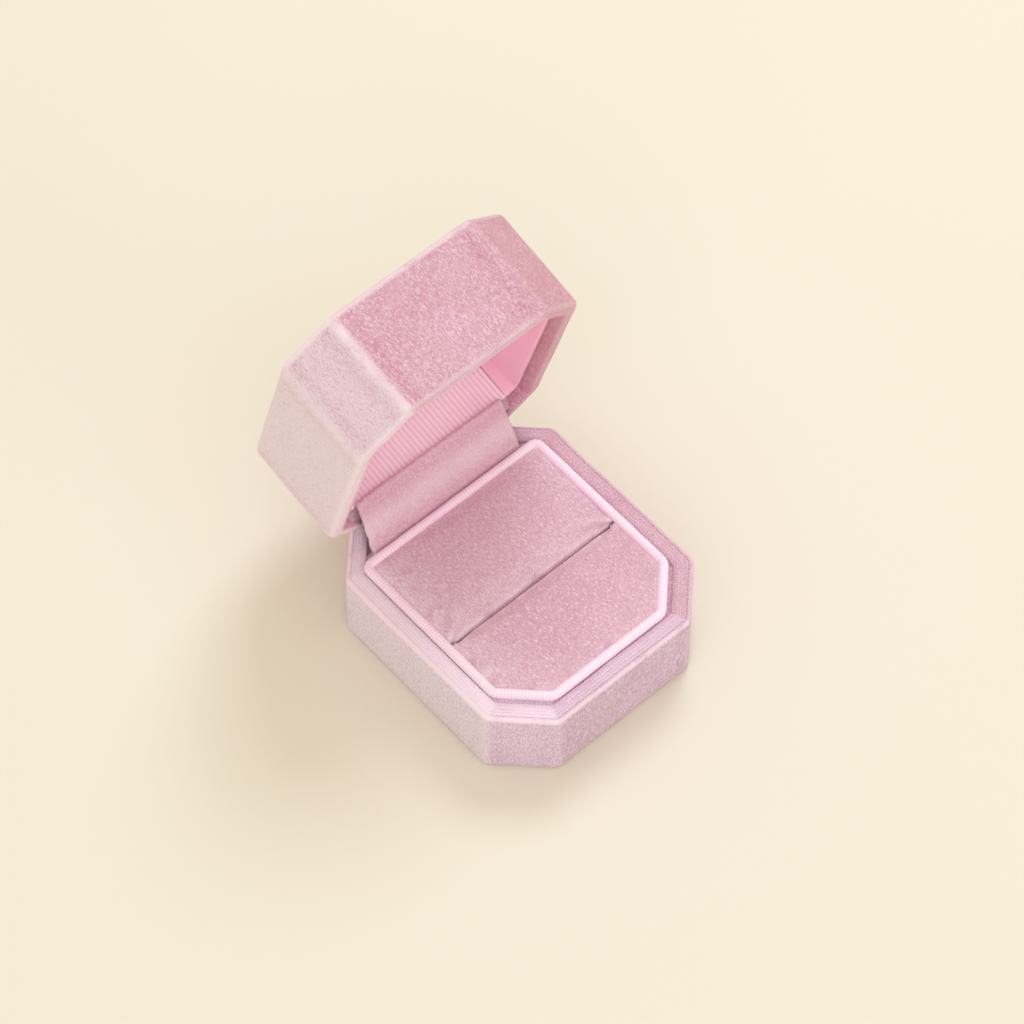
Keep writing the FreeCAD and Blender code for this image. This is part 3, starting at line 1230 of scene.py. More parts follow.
def settle(obj: Piece, body: Body, material: Material, nodes: Sequence[str]) -> Piece:
    """Give a new piece its body, finish and the solids that it stands for.

    Args:
        obj: The piece.
        body: The body that it rides on.
        material: Its finish.
        nodes: Solids that it replaces.

    Returns:
        The piece.
    """
    obj.data.materials.append(material)
    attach(obj, body.value)
    if nodes:
        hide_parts(*nodes)
    return obj


@dataclass(frozen=True)
class CornerWebs:
    """Two webs of velvet that fill the back corners between a lining and the cut corners' hem.

    Args:
        sizes: The box's sizes.
        near: Depth of the webs' front edge in millimetres.
        near_z: Height of that edge.
        far_z: Height at the hem.
        sag: How far the webs hang in their middle.
        steps: Steps along each edge.
        hinge_gap: Distance of the webs from the hinge.
        hem_lap: How far the webs go behind the hem.
        painted_sheen: Painted sheen on the webs.
        nap_and_painted_light: Painted light on the webs.
    """

    sizes: BoxSizes
    near: float
    near_z: float
    far_z: float
    sag: float
    steps: int = 6
    hinge_gap: float = 0.2
    hem_lap: float = 0.1
    painted_sheen: float = 0.15
    nap_and_painted_light: float = 0.2

    def add_to(self, data: MeshData) -> None:
        """Add both webs to a mesh that is being made.

        Args:
            data: The mesh data to add to.
        """
        s = self.sizes
        first = s.hinge_half + self.hinge_gap
        across = s.width / 2 + s.depth / 2 - s.corner_cut - s.rim * math.sqrt(2) + self.hem_lap
        last = across - self.near
        for side in (-1, 1):
            rows = []
            for i in range(self.steps + 1):
                x = first + (last - first) * i / self.steps
                row = []
                for j in range(self.steps + 1):
                    part = j / self.steps
                    y = self.near + (across - x - self.near) * part
                    hang = self.sag * math.sin(math.pi * part)
                    z = self.near_z + (self.far_z - self.near_z) * part - hang
                    row.append(data.add(Vector((side * x, y, z)) * MM, self.painted_sheen, self.nap_and_painted_light))
                rows.append(row)
            faces: List[Face] = []
            for low, high in zip(rows[:-2], rows[1:]):
                faces += [(low[j], high[j], high[j + 1], low[j + 1]) for j in range(self.steps)]
            faces += [(rows[-2][j], rows[-1][0], rows[-2][j + 1]) for j in range(self.steps)]
            data.faces += [face if side > 0 else tuple(reversed(face)) for face in faces]


@dataclass
class SubAssembly:
    """Pieces of the box that are made and dressed together."""

    sizes: BoxSizes

    def build(self, wardrobe: Wardrobe) -> List[Piece]:
        """Make and dress the pieces."""
        raise NotImplementedError


def rim_painted_shade(outward: Vector) -> float:
    """Give the share of painted shade on top of the base's rim: most on the right, less in front."""
    return RIM_PAINTED_SHADE_FRONT * max(0.0, -outward.y) ** 3 + RIM_PAINTED_SHADE_RIGHT * max(0.0, outward.x)


@dataclass
class BaseShell(SubAssembly):
    """Velvet wrap of the base, with the folded ridges of its rim.

    The underside and the hem are rows of points: inset and height for the underside; inset from the
    hem's pile, depth below the rim and painted sheen for the hem.
    """

    edge_radius: float = 2.2
    underside: Tuple[Point2, ...] = ((4.5, 0.95), (4.5, 0.32), (2.5, 0.3), (1.0, 0.3))
    foot_z: float = 0.3
    foot_radius: float = 0.6
    # Painted sheen on the foot's bend, the rim's edge and its ridges, less in the furrows.
    foot_painted_sheen: float = 0.15
    wall_start: float = 0.9
    wall_gap: float = 0.2
    wall_steps: int = 10
    rim_edge: float = 0.8
    rim_painted_sheen: float = 0.8
    rim_top: float = 0.3
    ridge_gap: float = 0.05
    ridge_end: float = 0.3
    ridge_height: float = 0.06
    ridge_count: int = 3
    furrow_painted_sheen: float = 0.3
    ridge_painted_sheen: float = 0.25
    hem_pile: float = 0.55
    hem: Tuple[Point3, ...] = ((-0.12, 0.12, 0.3), (0.0, 0.4, 0.1), (0.0, 1.5, 0.0))
    hem_depth: float = 7.0
    bay_floor: float = 5.0

    def stations(self) -> List[Station]:
        """Give the wrap's profile from the underside to the turned-in hem.

        Returns:
            The profile.
        """
        s = self.sizes
        high = s.base_height
        top = high - self.rim_edge
        foot = self.foot_radius
        found = [Station(inset, z) for inset, z in self.underside]
        found += arc_stations(foot, self.foot_z + foot, foot, start=-90, end=0, steps=5, painted_sheen=self.foot_painted_sheen)
        rise = top - self.wall_start - self.wall_gap
        for k in range(1, self.wall_steps):
            found.append(Station(0.0, self.wall_start + rise * k / self.wall_steps))
        edge = self.rim_edge
        found += arc_stations(edge, top, edge, start=0, end=90, steps=6, painted_sheen=self.rim_painted_sheen)
        found += ridge_stations(self.rim_edge + self.ridge_gap, s.rim - self.ridge_end, high,
                                self.ridge_count, self.ridge_height, self.furrow_painted_sheen, self.ridge_painted_sheen)
        hem = s.rim + self.hem_pile
        found += [Station(hem + inset, high - depth, painted_sheen) for inset, depth, painted_sheen in self.hem]
        found.append(Station(s.rim, high - self.hem_depth))
        return found

    def painted_shade_share(self, outward: Vector, station: Station) -> float:
        """Give the share of painted shade, which is laid only on top of the rim."""
        on_top = station.z > self.sizes.base_height - self.rim_top
        return rim_painted_shade(outward) if on_top else 0.0

    def keep(self, middle: Vector, station: Station) -> bool:
        """Leave out the part of the hem that the hinge leaf goes through, from a face's middle."""
        inside = station.inset > self.sizes.wall_inside and middle.z > self.bay_floor * MM
        return not (self.sizes.in_hinge_bay(middle) and inside)

    def build(self, wardrobe: Wardrobe) -> List[Piece]:
        """Make the wrap.

        Args:
            wardrobe: The finishes.

        Returns:
            The piece.
        """
        outline = WallOutline(self.sizes, self.edge_radius)
        # Painted sheen along the upright bends, painted light on sides facing left, painted shade on top of
        # the rim.
        pile = Pile(soft=0.12, bend_painted_sheen=0.3, outside_to=9.0, painted_light_power=3.0, proud=0.35, painted_shade=self.painted_shade_share)
        obj = sweep(outline, self.stations(), pile, self.keep).make("base_velvet_wrap")
        return [settle(obj, Body.BASE, wardrobe.base_velvet, ["base_velvet"])]


@dataclass
class LidShell(SubAssembly):
    """Velvet wrap of the lid, drawn shut and turned open.

    The hem is a row of points: height above the rim and painted sheen.
    """

    edge_radius: float = 2.8
    hem: Tuple[Point2, ...] = ((7.0, 0.0), (4.0, 0.0), (1.5, 0.0), (0.4, 0.1))
    ridge_start: float = 0.3
    ridge_height: float = 0.1
    ridge_count: int = 3
    # Painted sheen on the rim's ridges, its rolled edge and the top's edge, fading over the top, which gets
    # painted light.
    ridge_painted_sheen: float = 0.6
    rim_edge: float = 1.1
    rim_painted_sheen: float = 0.4
    wall_steps: int = 14
    top_edge: float = 1.6
    edge_painted_sheen: float = 0.8
    top_pile: float = 0.45
    top_rings: int = 24
    top_painted_light: float = 0.3
    top_painted_sheen: float = 0.35
    top_fade: float = 9.0
    top_dents: Ripple = Ripple(9.0, 0.12, 3.0)
    # Painted shade on the outside that faces right.
    right_painted_shade: float = 0.22
    barrel_clear: float = 0.6
    bay_ceiling: float = 3.0
    web_lap: float = 0.15
    web_rise: float = 0.7
    web_sag: float = 0.2

    @property
    def top_z(self) -> float:
        """Height of the pile on the shut lid's top."""
        return self.sizes.lid_top + self.top_pile

    def stations(self) -> List[Station]:
        """Give the wrap's profile from the turned-in hem to the edge of the top.

        Returns:
            The profile.
        """
        s = self.sizes
        low = s.lid_rim
        found = [Station(s.rim, low + rise, painted_sheen) for rise, painted_sheen in self.hem]
        found += ridge_stations(s.rim - self.ridge_start, self.rim_edge, low, self.ridge_count,
                                -self.ridge_height, 0.0, self.ridge_painted_sheen)
        edge = self.rim_edge
        bottom = low + edge
        found += arc_stations(edge, bottom, edge, start=-90, end=0, steps=7, painted_sheen=self.rim_painted_sheen)[1:]
        edge = self.top_edge
        top = self.top_z - edge
        for k in range(1, self.wall_steps):
            found.append(Station(0.0, bottom + (top - bottom) * k / self.wall_steps))
        found += arc_stations(edge, top, edge, start=0, end=90, steps=7, painted_sheen=self.edge_painted_sheen)
        found[-1] = Station(edge, self.top_z, self.top_painted_sheen)
        return found

    def painted_shade_share(self, outward: Vector, station: Station) -> float:
        """Give the share of painted shade, which is laid on the outside that faces right."""
        return self.right_painted_shade * max(0.0, outward.x) * max(0.0, 1.0 - station.inset)

    def close_top(self, data: MeshData, outline: Outline) -> None:
        """Close the top with rings drawn towards its middle, fading the edge's painted sheen and light.

        Args:
            data: The swept wrap, whose last ring is the top's edge.
            outline: Its plan outline.
        """
        flat = outline.ring(self.top_edge)
        count = len(flat)
        last = list(range(len(data.verts) - count, len(data.verts)))
        edge_painted_light = data.nap_and_painted_light[-count:]
        for k in range(1, self.top_rings):
            part = 1.0 - k / self.top_rings
            fade = max(0.0, 1.0 - (1.0 - part) * self.top_fade)
            ring = []
            for (x, y), nap_and_painted_light in zip(flat, edge_painted_light):
                point = Vector((x * part * MM, y * part * MM, self.top_z * MM))
                point.z -= abs(self.top_dents.at(point))
                painted_lightness = self.top_painted_light + (nap_and_painted_light - self.top_painted_light) * fade
                ring.append(data.add(point, self.top_painted_sheen * fade, painted_lightness))
            data.bridge(last, ring)
            last = ring
        data.faces.append(tuple(last))

    def keep(self, middle: Vector, station: Station) -> bool:
        """Leave out the window that the hinge barrel works in.

        Args:
            middle: Middle of a face, in the shut lid.
            station: Its first station.

        Returns:
            Whether the face stays.
        """
        s = self.sizes
        low = middle.z < (s.pin_z - self.barrel_clear) * MM
        inside = station.inset > s.wall_inside and middle.z < (s.lid_top - self.bay_ceiling) * MM
        return not (s.in_hinge_bay(middle) and (low or inside))

    def build(self, wardrobe: Wardrobe) -> List[Piece]:
        """Make the wrap.

        Args:
            wardrobe: The finishes.

        Returns:
            The piece.
        """
        s = self.sizes
        outline = WallOutline(s, self.edge_radius)
        # Painted sheen along the upright bends, painted light on sides facing left, painted shade on those
        # facing right.
        pile = Pile(soft=0.14, bend_painted_sheen=0.7, proud=0.35, painted_shade=self.painted_shade_share)
        data = sweep(outline, self.stations(), pile, self.keep)
        self.close_top(data, outline)
        hem_z = s.lid_rim + self.web_rise
        CornerWebs(s, s.liner_back + self.web_lap, s.liner_low, hem_z, self.web_sag).add_to(data)
        obj = data.make("lid_velvet_wrap", s.opened())
        return [settle(obj, Body.LID, wardrobe.velvet, ["lid_velvet"])]


@dataclass
class Cushion(SubAssembly):
    """One crowned pad on a side of the slit.

    The flank is a row of points, inset and height, from the pad's bottom up.
    """

    front: bool
    inset: float = 1.2
    slit_gap: float = 0.1
    flank: Tuple[Point2, ...] = ((0.5, 7.0), (0.25, 7.6), (0.1, 10.0), (0.0, 12.5), (0.0, 14.5))
    shoulder_inset: float = 0.02
    top: float = 17.5
    swell: float = 0.9
    lip: float = 0.7
    slit_lip: float = 0.22
    slit_margin: float = 0.01
    lip_insets: Tuple[float, ...] = (0.05, 0.11, 0.2, 0.32, 0.48, 0.7, 1.0)
    top_rings: int = 24
    gather: float = 8.0
    cell: float = 0.7
    held_below: float = 15.2
    held_edge: float = 0.35
    free_at_slit: float = 0.6
    pressure: float = 1.0
    sim_scale: float = 25.0
    sim_frames: int = 20
    still_edge: float = 0.25
    slit_lift: float = 0.56
    slit_reach: float = 0.3
    slit_close: float = 0.9
    broad_dent: float = 0.14
    broad_wave: float = 5.5
    fine_dent: float = 0.05
    front_seed: float = 1.3
    rear_seed: float = 7.9
    fine_wave: float = 1.8
    fine_seed: float = 4.1
    # Painted light to the left and on the rolled edge, painted sheen on the edge, and more painted light on
    # the rear pad.
    left_reach: float = 3.5
    left_painted_light: float = 1.1
    edge_at: float = 0.6
    edge_width: float = 0.5
    edge_painted_sheen: float = 0.3
    edge_painted_light: float = 0.5
    cloud_level: float = 0.6
    cloud_wave: float = 2.2
    cloud_seed: float = 9.0
    front_painted_light: float = 0.12
    rear_painted_light: float = 0.3

    @property
    def slit_edge(self) -> float:
        """Place of the pad's edge at the slit."""
        return self.sizes.slit_y + (-self.slit_gap if self.front else self.slit_gap) / 2

    @property
    def level_painted_light(self) -> float:
        """Painted light on the level part of the pad."""
        return self.front_painted_light if self.front else self.rear_painted_light

    def corners(self) -> List[Point2]:
        """Give the pad's plan corners.

        Returns:
            The corners in order.
        """
        s = self.sizes
        x = s.insert_half - self.inset
        if self.front:
            cut = s.insert_cut - self.inset * CUT_LOSS
            return cut_plan(x, -s.insert_front + self.inset, self.slit_edge, cut)
        high = s.insert_back - self.inset
        return [(x, self.slit_edge), (x, high), (-x, high), (-x, self.slit_edge)]

    def to_slit(self, y: float) -> float:
        """Give the distance from the pad's edge at the slit, in millimetres."""
        return abs(y - self.sizes.slit_y) - self.slit_gap / 2

    def distance(self, x: float, y: float) -> float:
        """Give the distance in from the pad's plan edge.

        Args:
            x: Place in millimetres.
            y: Place in millimetres.

        Returns:
            The distance, positive inside.
        """
        corners = self.corners()
        sides = []
        for (ax, ay), (bx, by) in zip(corners, corners[1:] + corners[:1]):
            length = math.hypot(bx - ax, by - ay)
            sides.append(((bx - ax) * (y - ay) - (by - ay) * (x - ax)) / length)
        return min(sides)

    def slack_height(self, x: float, y: float) -> float:
        """Give the height of the pad's top, with its rolled edge, before it swells.

        Args:
            x: Place in millimetres.
            y: Place in millimetres.

        Returns:
            The height in millimetres.
        """
        inside = self.distance(x, y)
        near_slit = self.to_slit(y) < inside + self.slit_margin
        radius = self.slit_lip if near_slit else self.lip
        roll = min(1.0, max(0.0, inside) / radius)
        drop = radius * (1.0 - math.sqrt(max(0.0, 1.0 - (1.0 - roll) ** 2)))
        return self.top - self.swell - drop

    def dent(self, x: float, y: float) -> float:
        """Give the slight rise or fall of the pad's cover, in millimetres."""
        broad = plan_noise(x, y, self.broad_wave, self.front_seed if self.front else self.rear_seed)
        return self.broad_dent * broad + self.fine_dent * plan_noise(x, y, self.fine_wave, self.fine_seed)

    def is_held(self, place: Vector) -> bool:
        """Tell whether a place lies at the pad's foot or at its outer edge.

        Args:
            place: The place in metres.

        Returns:
            Whether the cover is held there.
        """
        x, y, z = (value / MM for value in place)
        at_slit = abs(y - self.slit_edge) < self.free_at_slit
        return z < self.held_below or (self.distance(x, y) < self.held_edge and not at_slit)

    def inflate(self, obj: Piece) -> None:
        """Swell the pad's cover with Cloth under pressure, held at its foot and its outer edge.

        Args:
            obj: The pad, as an even closed mesh.
        """
        scene = bpy.context.scene
        mesh = obj.data
        start = [vertex.co.copy() for vertex in mesh.vertices]
        held = [index for index, place in enumerate(start) if self.is_held(place)]
        for vertex in mesh.vertices:
            vertex.co *= self.sim_scale
        group = obj.vertex_groups.new(name="held")
        group.add(held, 1.0, "REPLACE")
        cloth = obj.modifiers.new("swell", "CLOTH")
        cloth.settings.vertex_group_mass = group.name
        cloth.settings.use_pressure = True
        cloth.settings.uniform_pressure_force = self.pressure
        cloth.settings.effector_weights.gravity = 0.0
        cloth.point_cache.frame_start = 1
        cloth.point_cache.frame_end = self.sim_frames
        for step in range(1, self.sim_frames + 1):
            scene.frame_set(step)
        depsgraph = bpy.context.evaluated_depsgraph_get()
        swollen = [vertex.co / self.sim_scale for vertex in obj.evaluated_get(depsgraph).data.vertices]
        obj.modifiers.clear()
        obj.vertex_groups.clear()
        scene.frame_set(1)
        capped = 0
        limit = min if self.front else max
        for vertex, before, after in zip(mesh.vertices, start, swollen):
            move = after - before
            if move.length > self.swell * MM:
                move *= self.swell * MM / move.length
                capped += 1
            place = before + move
            place.y = limit(place.y, self.slit_edge * MM)
            vertex.co = place
        LOG.info("%s: %d of %d free points reach the cap", obj.name, capped, len(start) - len(held))

    def shape_lips(self, mesh: bpy.types.Mesh) -> None:
        """Raise and close the lips of the slit, and dent the cover a little.

        Args:
            mesh: The swollen pad.
        """
        for vertex in mesh.vertices:
            x, y = vertex.co.x / MM, vertex.co.y / MM
            if vertex.co.z > self.held_below * MM and self.distance(x, y) > self.still_edge:
                to_slit = self.to_slit(y)
                lift = self.slit_lift * max(0.0, 1.0 - to_slit / self.cell)
                vertex.co.z += (self.dent(x, y) + lift) * MM
                if to_slit < self.slit_reach:
                    vertex.co.y -= math.copysign(to_slit * self.slit_close * MM, y - self.sizes.slit_y)

    def paint_light_and_sheen(self, mesh: bpy.types.Mesh) -> None:
        """Lay painted light towards the left side and along the edge, and painted sheen along the edge.

        Args:
            mesh: The shaped pad.
        """
        painted_sheen = []
        nap_and_painted_light = []
        for vertex in mesh.vertices:
            x, y = vertex.co.x / MM, vertex.co.y / MM
            left = math.exp(-max(0.0, x + self.sizes.insert_half - self.inset) / self.left_reach)
            cloud = self.cloud_level + plan_noise(x, y, self.cloud_wave, self.cloud_seed)
            edge = math.exp(-abs(self.distance(x, y) - self.edge_at) / self.edge_width)
            painted_sheen.append(max(0.0, self.edge_painted_sheen * edge * cloud))
            pale = (self.left_painted_light * left + self.edge_painted_light * edge) * cloud
            nap_and_painted_light.append(max(0.0, min(1.0, self.level_painted_light + pale)))
        store_weave_and_painted_light(mesh, painted_sheen, nap_and_painted_light, [vertex.co.copy() for vertex in mesh.vertices])

    def soften(self, obj: Piece) -> None:
        """Turn the pad into one closed even mesh, swell it and lay its painted light and sheen.

        Args:
            obj: The pad.
        """
        remesh = obj.modifiers.new("even", "REMESH")
        remesh.mode = "VOXEL"
        remesh.voxel_size = self.cell * MM
        apply_modifiers(obj)
        self.inflate(obj)
        obj.modifiers.new("smooth", "SUBSURF").levels = 1
        apply_modifiers(obj)
        self.shape_lips(obj.data)
        self.paint_light_and_sheen(obj.data)

    def slack_cover(self) -> MeshData:
        """Make the closed pad before it swells: a flank, a flat bottom and rings over the top.

        Returns:
            The pad's mesh data.
        """
        corners = self.corners()
        outline = PadOutline(corners, (1, 2) if self.front else (0, 3))
        stations = [Station(inset, z) for inset, z in self.flank]
        stations.append(Station(self.shoulder_inset, self.top - self.swell - self.lip))
        data = sweep(outline, stations)
        rings = [outline.ring(inset) for inset in self.lip_insets]
        inner = rings[-1]
        count = len(inner)
        middle_y = (min(y for _, y in corners) + max(y for _, y in corners)) / 2
        reach = max(x for x, _ in corners) - self.gather
        for k in range(1, self.top_rings):
            part = k / self.top_rings
            closer = []
            for x, y in inner:
                target = max(-reach, min(reach, x))
                closer.append((x + (target - x) * part, y + (middle_y - y) * part))
            rings.append(closer)
        last = list(range(len(data.verts) - count, len(data.verts)))
        for flat in rings:
            ring = [data.add(Vector((x * MM, y * MM, self.slack_height(x, y) * MM))) for x, y in flat]
            data.bridge(last, ring)
            last = ring
        data.faces.append(tuple(last))
        data.faces.append(tuple(reversed(range(count))))
        return data

    def build(self, wardrobe: Wardrobe) -> List[Piece]:
        """Make the pad.

        Args:
            wardrobe: The finishes.

        Returns:
            The piece.
        """
        side = "front" if self.front else "rear"
        obj = self.slack_cover().make(side + "_pad")
        self.soften(obj)
        settle(obj, Body.BASE, wardrobe.cushion,
               [side + "_cushion_velvet", side + "_cushion_foam"])
        return [obj]


@dataclass
class Piping(SubAssembly):
    """Ribbed ribbon drawn round a cord along the cushion's edge, and the velvet border outside it.

    The border is a row of points: inset from the insert's edge, depth below its top and painted sheen.
    """

    rib_pitch: float = 0.6
    rib_depth: float = 0.08
    rib_power: float = 0.7
    rib_slant: float = 0.1
    sides: int = 14
    steps_per_rib: int = 5
    seat_gap: float = 0.05
    bulges: Ripple = Ripple(2.5, 0.05, 5.0)
    border_drop: float = 0.55
    border_line: Tuple[Point3, ...] = (
        (1.2, 0.2, 0.0), (0.3, 0.0, 0.1), (-0.5, 0.05, 0.0), (-1.1, 0.2, 0.0), (-1.5, 0.9, 0.0),
    )
    border_open: float = 4.2
    border_back: float = 0.6
    web_near: float = 0.8
    web_drop: float = 1.5
    web_sag: float = 0.4

    def outline(self) -> Outline:
        """Give the insert's outline."""
        s = self.sizes
        return TrayOutline(s, s.insert_half, s.insert_front, s.insert_back)

    def path(self) -> List[Vector]:
        """Give the piping's line as evenly spaced points.

        Returns:
            The points in metres.
        """
        s = self.sizes
        ring = [Vector((x, y)) for x, y in self.outline().ring(s.piping_radius + self.seat_gap)]
        lengths = [(ring[(i + 1) % len(ring)] - ring[i]).length for i in range(len(ring))]
        total = sum(lengths)
        count = round(total / self.rib_pitch) * self.steps_per_rib
        found = []
        index = 0
        walked = 0.0
        for k in range(count):
            target = total * k / count
            while walked + lengths[index] < target:
                walked += lengths[index]
                index += 1
            part = (target - walked) / lengths[index]
            flat = ring[index].lerp(ring[(index + 1) % len(ring)], part)
            found.append(Vector((flat.x * MM, flat.y * MM, s.base_height * MM)))
        return found

    def painted_shade_share(self, outward: Vector, station: Station) -> float:
        """Give the border's share of painted shade, the same at every station as on the rim."""
        return rim_painted_shade(outward)

    def keep(self, middle: Vector, station: Station) -> bool:
        """Leave out the middle of the border's back, where the hinge strip goes down."""
        beside = abs(middle.x) > (self.sizes.insert_half - self.border_open) * MM
        return beside or middle.y < (self.sizes.insert_back - self.border_back) * MM

    def border(self, wardrobe: Wardrobe) -> Piece:
        """Make the velvet border between the piping and the rim, with the webs in the back corners.

        Args:
            wardrobe: The finishes.

        Returns:
            The piece.
        """
        s = self.sizes
        high = s.base_height - self.border_drop
        stations = [Station(inset, high - depth, painted_sheen) for inset, depth, painted_sheen in self.border_line]
        # Painted shade on the border, as on top of the rim.
        pile = Pile(soft=0.1, outside_to=9.0, painted_shade=self.painted_shade_share)
        data = sweep(self.outline(), stations, pile, self.keep)
        web_z = s.base_height - self.web_drop
        CornerWebs(s, s.insert_back + self.web_near, web_z, web_z, self.web_sag).add_to(data)
        obj = data.make("insert_velvet_border")
        return settle(obj, Body.BASE, wardrobe.base_velvet, [])

    def ribbon(self, wardrobe: Wardrobe) -> Piece:
        """Make the ribbon round the cord.

        Args:
            wardrobe: The finishes.

        Returns:
            The piece.
        """
        line = self.path()
        count = len(line)
        data = MeshData()
        rings = []
        for k, here in enumerate(line):
            along = (line[(k + 1) % count] - line[k - 1]).normalized()
            outward = Vector((along.y, -along.x, 0.0))
            wave = 0.5 + 0.5 * math.cos(2 * math.pi * k / self.steps_per_rib)
            radius = (self.sizes.piping_radius - self.rib_depth * (1.0 - wave ** self.rib_power)) * MM
            radius += self.bulges.at(here)
            ring = []
            for i in range(self.sides):
                angle = 2 * math.pi * i / self.sides
                slant = along * (self.rib_slant * MM * math.sin(angle))
                point = here + outward * (radius * math.cos(angle)) + Vector((0, 0, radius * math.sin(angle)))
                # The rib's wave is stored as painted sheen: a painted highlight on each rib, painted shade
                # between.
                ring.append(data.add(point + slant, wave))
            rings.append(ring)
        for low, high in zip(rings, rings[1:] + rings[:1]):
            data.bridge(low, high)
        obj = data.make("cushion_piping")
        return settle(obj, Body.BASE, wardrobe.ribbon, ["piping_ribbon", "piping_cord"])

    def build(self, wardrobe: Wardrobe) -> List[Piece]:
        """Make the piping and its border."""
        return [self.ribbon(wardrobe), self.border(wardrobe)]


@dataclass
class HingeStrip(SubAssembly):
    """Velvet strip that runs from behind the cushion up to the open lid's lining."""

    half: float = 17.0
    thickness: float = 0.6
    foot: Point2 = (18.7, 10.6)
    foot_rise: float = 1.8
    bend: Point2 = (18.9, 15.0)
    bow: float = 0.3
    bow_way: Point2 = (0.9, 0.4)
    top_inset: float = 1.2
    top_shift: Point2 = (-0.42, 0.95)
    line_steps: int = 22
    columns: int = 46
    fixed_rows: int = 3
    fray_wave: float = 0.9
    fray: float = 0.18
    fray_seed: float = 2.0
    fray_change: float = 9.0
    taper: float = 0.025
    taper_from: float = 16.0
    taper_over: float = 10.0
    creases: Ripple = Ripple(6.0, 0.16, 8.0)
    # Painted sheen along both cut ends, and soft bands across of painted light and sheen.
    edge_sharpness: float = 40.0
    edge_painted_sheen: float = 0.35
    band_count: float = 1.7
    band_start: float = 0.1
    band_painted_sheen: float = 0.22
    band_painted_light: float = 0.3

    def line(self) -> List[Point2]:
        """Give the strip's side view from its foot to its top.

        Returns:
            Points as Y and Z in millimetres.
        """
        s = self.sizes
        top = s.opened() @ Vector((0.0, (s.liner_back - self.top_inset) * MM, s.liner_low * MM))
        end = (top.y / MM + self.top_shift[0], top.z / MM + self.top_shift[1])
        found = [self.foot, (self.foot[0], self.foot[1] + self.foot_rise)]
        for k in range(self.line_steps + 1):
            part = k / self.line_steps
            y = self.bend[0] + (end[0] - self.bend[0]) * part
            z = self.bend[1] + (end[1] - self.bend[1]) * part
            lift = self.bow * math.sin(math.pi * part)
            found.append((y - lift * self.bow_way[0], z + lift * self.bow_way[1]))
        return found

    def cloth(self, line: Sequence[Point2]) -> MeshData:
        """Make the strip's middle face, with frayed edges and soft bands of painted light and sheen.

        Args:
            line: Its side view.

        Returns:
            The mesh data.
        """
        data = MeshData()
        rows = []
        for r, (y, z) in enumerate(line):
            band = 0.5 + 0.5 * math.cos(2 * math.pi * (r / len(line) * self.band_count + self.band_start))
            narrow = 1.0 - self.taper * max(0.0, (z - self.taper_from) / self.taper_over)
            row = []
            for c in range(self.columns + 1):
                part = c / self.columns
                seed = self.fray_seed + part * self.fray_change
                fray = Ripple(self.fray_wave, self.fray, seed).at(Vector((0.0, y * MM, z * MM)))
                point = Vector(((2 * part - 1) * self.half * narrow * MM + fray, y * MM, z * MM))
                point.y += self.creases.at(point)
                edge = max(0.0, 1.0 - min(part, 1 - part) * self.edge_sharpness)
                painted_sheen = self.edge_painted_sheen * edge + self.band_painted_sheen * band
                row.append(data.add(point, painted_sheen, self.band_painted_light * band))
            rows.append(row)
        for low, high in zip(rows, rows[1:]):
            data.bridge(low, high, closed=False)
        return data

    def build(self, wardrobe: Wardrobe) -> List[Piece]:
        """Make the strip.

        Args:
            wardrobe: The finishes.

        Returns:
            The piece.
        """
        line = self.line()
        obj = self.cloth(line).make("velvet_hinge_strip")
        solid = obj.modifiers.new("thickness", "SOLIDIFY")
        solid.thickness = self.thickness * MM
        solid.offset = 0.0
        apply_modifiers(obj)
        obj.data.materials.append(wardrobe.strip)
        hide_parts("hinge_strip")
        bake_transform(obj)
        return [obj]


